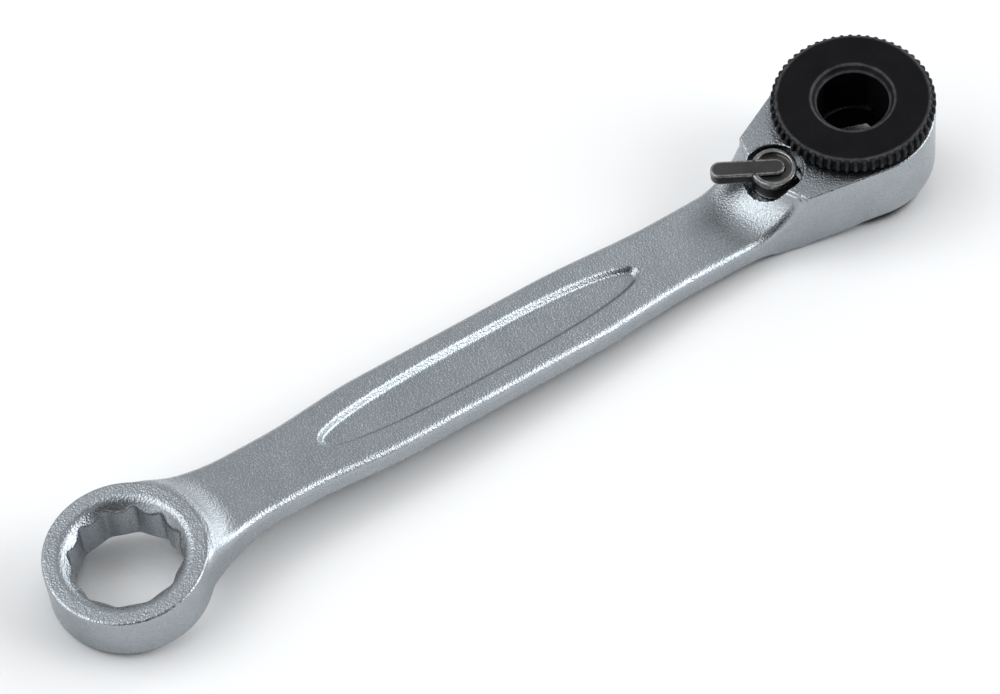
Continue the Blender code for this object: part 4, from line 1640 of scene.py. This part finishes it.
@dataclass
class Finishes:
    """All the finishes of the tool."""

    made: dict[Slot, bpy.types.Material] = field(default_factory=dict)

    @staticmethod
    def recipes() -> list[Metal | Coating]:
        """Say what each finish is made of.

        Returns:
            One recipe for each slot.
        """
        return [
            Metal(Slot.CHROME, (0.338, 0.368, 0.392), (0.67, 0.685, 0.69), rough=0.29, grain_scale=6000.0,
                  grain_depth=0.00005, fleck=0.9, wear=0.15, top_only=True, pits=0.8),
            Metal(Slot.GUNMETAL, (0.064, 0.063, 0.062), (0.4, 0.39, 0.385), rough=0.33, grain_scale=7200.0,
                  grain_depth=0.000012, fleck=0.12, wear=0.8),
            Metal(Slot.BRIGHT, (0.4, 0.4, 0.41), (0.6, 0.6, 0.61), rough=0.3, grain_scale=5200.0,
                  grain_depth=0.00001),
            Metal(Slot.SPRING, (0.20, 0.20, 0.21), (0.4, 0.4, 0.41), rough=0.3, grain_scale=5200.0,
                  grain_depth=0.00001),
            Coating(Slot.BLACK, (0.0035, 0.0035, 0.004), (0.014, 0.014, 0.015), rough=0.5, grain_scale=6800.0,
                    grain_depth=0.00003, shine=0.08),
            Coating(Slot.RUBBER, (0.012, 0.012, 0.012), (0.03, 0.03, 0.03), rough=0.7, grain_scale=3000.0,
                    grain_depth=0.00003),
            Coating(Slot.OXIDE, (0.004, 0.004, 0.004), (0.012, 0.012, 0.012), rough=0.55, grain_scale=5200.0,
                    grain_depth=0.00002, shine=0.12),
        ]

    def build(self) -> None:
        """Make every finish."""
        grain = GrainGroup().build()
        edges = EdgeGroup().build()
        for recipe in self.recipes():
            self.made[recipe.slot] = recipe.build(grain, edges)

    def dress(self, item: bpy.types.Object, slot: Slot) -> None:
        """Give a piece one finish all over."""
        item.data.materials.clear()
        item.data.materials.append(self.made[slot])


# Studio

@dataclass(frozen=True)
class Card:
    """A bright soft card in the surround: where it hangs, its inner and outer half-angle and its strength."""

    way: Triple
    inner: float
    outer: float
    strength: float


@dataclass
class Studio:
    """Camera, floor, world and lamp."""

    azimuth: float = math.radians(-46.725)
    elevation: float = math.radians(46.942)
    roll: float = math.radians(9.181)
    aim: Triple = (31.596, 0.479, -0.007)
    distance: float = 379.877
    lens: float = 165.6
    sensor: float = 36.0
    near_clip: float = 0.01
    far_clip: float = 20.0
    floor_tone: Triple = (0.82, 0.82, 0.82)
    floor_half: float = 1.5
    floor_rough: float = 0.9
    floor_shine: float = 0.1
    # Painted shade in the floor's colour: its tone, the ambient occlusion reach, span and samples that set
    # where it falls, and the extra painted shade round the drive axis under the head.
    shade_tone: Triple = (0.01, 0.01, 0.01)
    shade_reach: float = 0.014
    shade_span: Pair = (0.14, 0.26)
    shade_samples: int = 10
    head_span: Pair = (0.0058, 0.0068)
    head_shade: float = 0.28
    wall_side: Triple = (0.5, 0.6, 0.62)
    wall_span: Pair = (-0.15, 0.95)
    wall_dark: float = 0.07
    wall_grey: float = 0.6
    light_tint: Triple = (0.98, 1.0, 1.02)
    backdrop: Pair = (0.12, 0.22)
    lamp_spot: Triple = (0.03, 0.12, 0.6)
    lamp_size: Pair = (0.5, 0.4)
    lamp_power: float = 0.7
    cards: tuple[Card, ...] = (
        Card((0.66, -0.54, 0.52), 12.0, 27.0, 4.2),
        Card((0.95, 0.12, 0.28), 12.0, 30.0, 2.6),
        Card((-0.82, 0.1, 0.56), 10.0, 26.0, 2.1),
        Card((-0.45, 0.46, 0.77), 8.0, 24.0, 3.3),
    )

    def add_camera(self, tool: Matrix) -> None:
        """Place the camera where the photograph was taken.

        Args:
            tool: Frame of the handle, in metres.
        """
        level = math.cos(self.elevation)
        across, along = math.sin(self.azimuth) * level, -math.cos(self.azimuth) * level
        back = Vector((across, along, math.sin(self.elevation)))
        side = Vector((math.cos(self.azimuth), math.sin(self.azimuth), 0.0))
        upward = back.cross(side)
        right = side * math.cos(self.roll) + upward * math.sin(self.roll)
        above = upward * math.cos(self.roll) - side * math.sin(self.roll)
        spot = (Vector(self.aim) + back * self.distance) * MM
        turned = Matrix((right, above, back)).transposed().to_4x4()
        lens = bpy.data.cameras.new("camera")
        lens.sensor_width = self.sensor
        lens.lens = self.lens
        lens.clip_start = self.near_clip
        lens.clip_end = self.far_clip
        camera = bpy.data.objects.new("camera", lens)
        camera.matrix_world = tool @ Matrix.Translation(spot) @ turned
        bpy.context.scene.collection.objects.link(camera)
        bpy.context.scene.camera = camera

    def add_floor(self, drive: Matrix) -> None:
        """Lay a pale floor that the light brings up to white, with painted shade in its colour close under
        the tool and round the drive axis under the head.

        Args:
            drive: Frame of the head on its drive axis.
        """
        half = self.floor_half
        mesh = bpy.data.meshes.new("floor")
        corners = [(-half, -half, 0.0), (half, -half, 0.0), (half, half, 0.0), (-half, half, 0.0)]
        mesh.from_pydata(corners, [], [(0, 1, 2, 3)])
        floor = bpy.data.objects.new("floor", mesh)
        bpy.context.scene.collection.objects.link(floor)
        finish = bpy.data.materials.new("pale_floor")
        finish.use_nodes = True
        kit = NodeKit(finish.node_tree)
        shader = finish.node_tree.nodes["Principled BSDF"]
        # Painted shade: the floor's base colour goes nearly black where ambient occlusion is low, and close
        # round the drive axis under the head, which also darkens the floor seen through the drive's hole.
        away = kit.add("ShaderNodeVectorMath", operation="DISTANCE")
        kit.link(kit.add("ShaderNodeTexCoord").outputs["Object"], away.inputs[0])
        away.inputs[1].default_value = drive.translation * Vector((1.0, 1.0, 0.0))
        painted_head_shade = kit.ramp(away.outputs["Value"], *self.head_span, self.head_shade, 0.0)
        reach = kit.add("ShaderNodeAmbientOcclusion", samples=self.shade_samples)
        reach.inputs["Distance"].default_value = self.shade_reach
        clear = kit.ramp(kit.math("SUBTRACT", reach.outputs["AO"], painted_head_shade), *self.shade_span)
        kit.link(kit.mix(clear, self.shade_tone, self.floor_tone), shader.inputs["Base Color"])
        shader.inputs["Roughness"].default_value = self.floor_rough
        shader.inputs["Specular IOR Level"].default_value = self.floor_shine
        mesh.materials.append(finish)

    def add_world(self) -> None:
        """Hang grey walls and bright soft cards above a white backdrop that stands round the floor."""
        world = bpy.data.worlds.new("studio")
        world.use_nodes = True
        bpy.context.scene.world = world
        kit = NodeKit(world.node_tree)
        back = world.node_tree.nodes["Background"]
        way = kit.add("ShaderNodeTexCoord").outputs["Generated"]
        facing_wall = self.towards(kit, way, self.wall_side)
        total = kit.ramp(facing_wall, *self.wall_span, self.wall_dark, self.wall_grey)
        for card in self.cards:
            facing = self.towards(kit, way, card.way)
            inner, outer = (math.cos(math.radians(angle)) for angle in (card.inner, card.outer))
            total = kit.math("ADD", total, kit.ramp(facing, outer, inner, 0.0, card.strength))
        toned = kit.add("ShaderNodeCombineColor")
        for name, tint in zip(("Red", "Green", "Blue"), self.light_tint):
            kit.link(kit.math("MULTIPLY", total, tint), toned.inputs[name])
        height = kit.add("ShaderNodeSeparateXYZ")
        kit.link(way, height.inputs["Vector"])
        backdrop = kit.ramp(height.outputs["Z"], *self.backdrop, 1.0, 0.0)
        kit.link(kit.mix(backdrop, toned.outputs["Color"], (1.0, 1.0, 1.0)), back.inputs["Color"])
        back.inputs["Strength"].default_value = 1.0

    @staticmethod
    def towards(kit: NodeKit, way: Socket, target: Triple) -> Socket:
        """Say how far a direction looks towards a target.

        Args:
            kit: Kit of the world's tree.
            way: The direction.
            target: The target's direction.

        Returns:
            A value from -1 to 1.
        """
        node = kit.add("ShaderNodeVectorMath", operation="DOT_PRODUCT")
        kit.link(way, node.inputs[0])
        node.inputs[1].default_value = Vector(target).normalized()
        return node.outputs["Value"]

    def add_lamp(self) -> None:
        """Hang one wide lamp overhead, which lights the floor and drops a soft shadow."""
        light = bpy.data.lights.new("overhead", "AREA")
        light.shape = "RECTANGLE"
        light.size, light.size_y = self.lamp_size
        light.energy = self.lamp_power
        lamp = bpy.data.objects.new("overhead", light)
        lamp.location = self.lamp_spot
        lamp.visible_glossy = False
        lamp.rotation_mode = "QUATERNION"
        lamp.rotation_quaternion = (-Vector(self.lamp_spot)).to_track_quat("-Z", "Y")
        bpy.context.scene.collection.objects.link(lamp)

    def build(self, tool: Matrix, drive: Matrix) -> None:
        """Set up the whole studio.

        Args:
            tool: Frame of the handle.
            drive: Frame of the head on its drive axis.
        """
        bpy.context.scene.view_settings.view_transform = "Standard"
        self.add_camera(tool)
        self.add_floor(drive)
        self.add_world()
        self.add_lamp()


# Putting the pieces together

@dataclass
class Ratchet:
    """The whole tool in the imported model's frame."""

    loaded: dict[str, Any]
    forging: Forging = field(default_factory=Forging)
    lever: Lever = field(default_factory=Lever)
    disc: Disc = field(default_factory=Disc)
    finishes: Finishes = field(default_factory=Finishes)
    replaced: set[str] = field(default_factory=set)

    def joint(self, name: str) -> dict[str, Any]:
        """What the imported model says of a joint."""
        return next(entry for entry in self.loaded["joints"] if entry["name"] == name)

    def joint_frame(self, name: str) -> Matrix:
        """Frame with its origin at a joint, its Z on the joint's axis and its X in the tool's middle plane.

        Args:
            name: Name of the joint.

        Returns:
            The frame, in metres.
        """
        joint = self.joint(name)
        upward = Vector(joint["axis"]).normalized()
        across = Vector((0.0, 1.0, 0.0))
        along = across.cross(upward).normalized()
        turned = Matrix((along, across, upward)).transposed().to_4x4()
        return Matrix.Translation(Vector(joint["pos_m"])) @ turned

    def tool_frame(self) -> Matrix:
        """Frame of the handle, worked out from the drive axis."""
        return self.joint_frame("gear_spin") @ self.forging.head_in_tool().inverted()

    def place(self, item: bpy.types.Object, body: Body, slot: Slot, node: str) -> None:
        """Let a piece ride on its body and stand for its node.

        Args:
            item: The piece.
            body: Body that it moves with.
            slot: Its finish.
            node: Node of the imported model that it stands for.
        """
        self.finishes.dress(item, slot)
        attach(item, body.value)
        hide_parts(node)
        self.replaced.add(node)
        LOG.info("%s: %d faces on %s", item.name, len(item.data.polygons), body.value)

    def build(self) -> None:
        """Make and dress every piece."""
        self.finishes.build()
        head = self.joint_frame("gear_spin")
        half_swing = math.radians(self.joint("lever_turn")["range_deg"][1]) / 2.0
        lever_place = self.joint_frame("lever_turn") @ Matrix.Rotation(-half_swing, 4, "Z")
        self.place(self.forging.build(self.tool_frame()), Body.FORGING, Slot.CHROME, "handle_body")
        self.place(self.lever.build(lever_place), Body.LEVER, Slot.GUNMETAL, "reversing_lever")
        self.place(self.disc.build_plate(head), Body.DRIVE, Slot.BLACK, "thumb_disc")
        ridges = self.disc.build_ridges(head, self.finishes.made[Slot.BLACK])
        self.place(ridges, Body.DRIVE, Slot.BLACK, "thumb_disc")
        self.dress_inner_pieces()

    def dress_inner_pieces(self) -> None:
        """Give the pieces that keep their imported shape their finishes."""
        slots = {entry["node"]: Slot(entry["material_slot"]) for entry in self.loaded["record"]["subparts"]}
        for name, item in self.loaded["nodes"].items():
            if name in self.replaced:
                continue
            self.finishes.dress(item, slots[name])
            LOG.info("%s keeps its shape", name)


def corners(box: tuple[Vector, Vector]) -> list[list[float]]:
    """Lowest and highest corner of a box as plain lists."""
    return [list(corner) for corner in box]


def main() -> None:
    """Build the tool and its studio."""
    logging.basicConfig(level=logging.INFO, format="%(message)s")
    for item in list(bpy.data.objects):
        bpy.data.objects.remove(item, do_unlink=True)
    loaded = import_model()
    ratchet = Ratchet(loaded)
    Studio().build(ratchet.tool_frame(), ratchet.joint_frame("gear_spin"))
    ratchet.build()


if __name__ == "__main__":
    main()
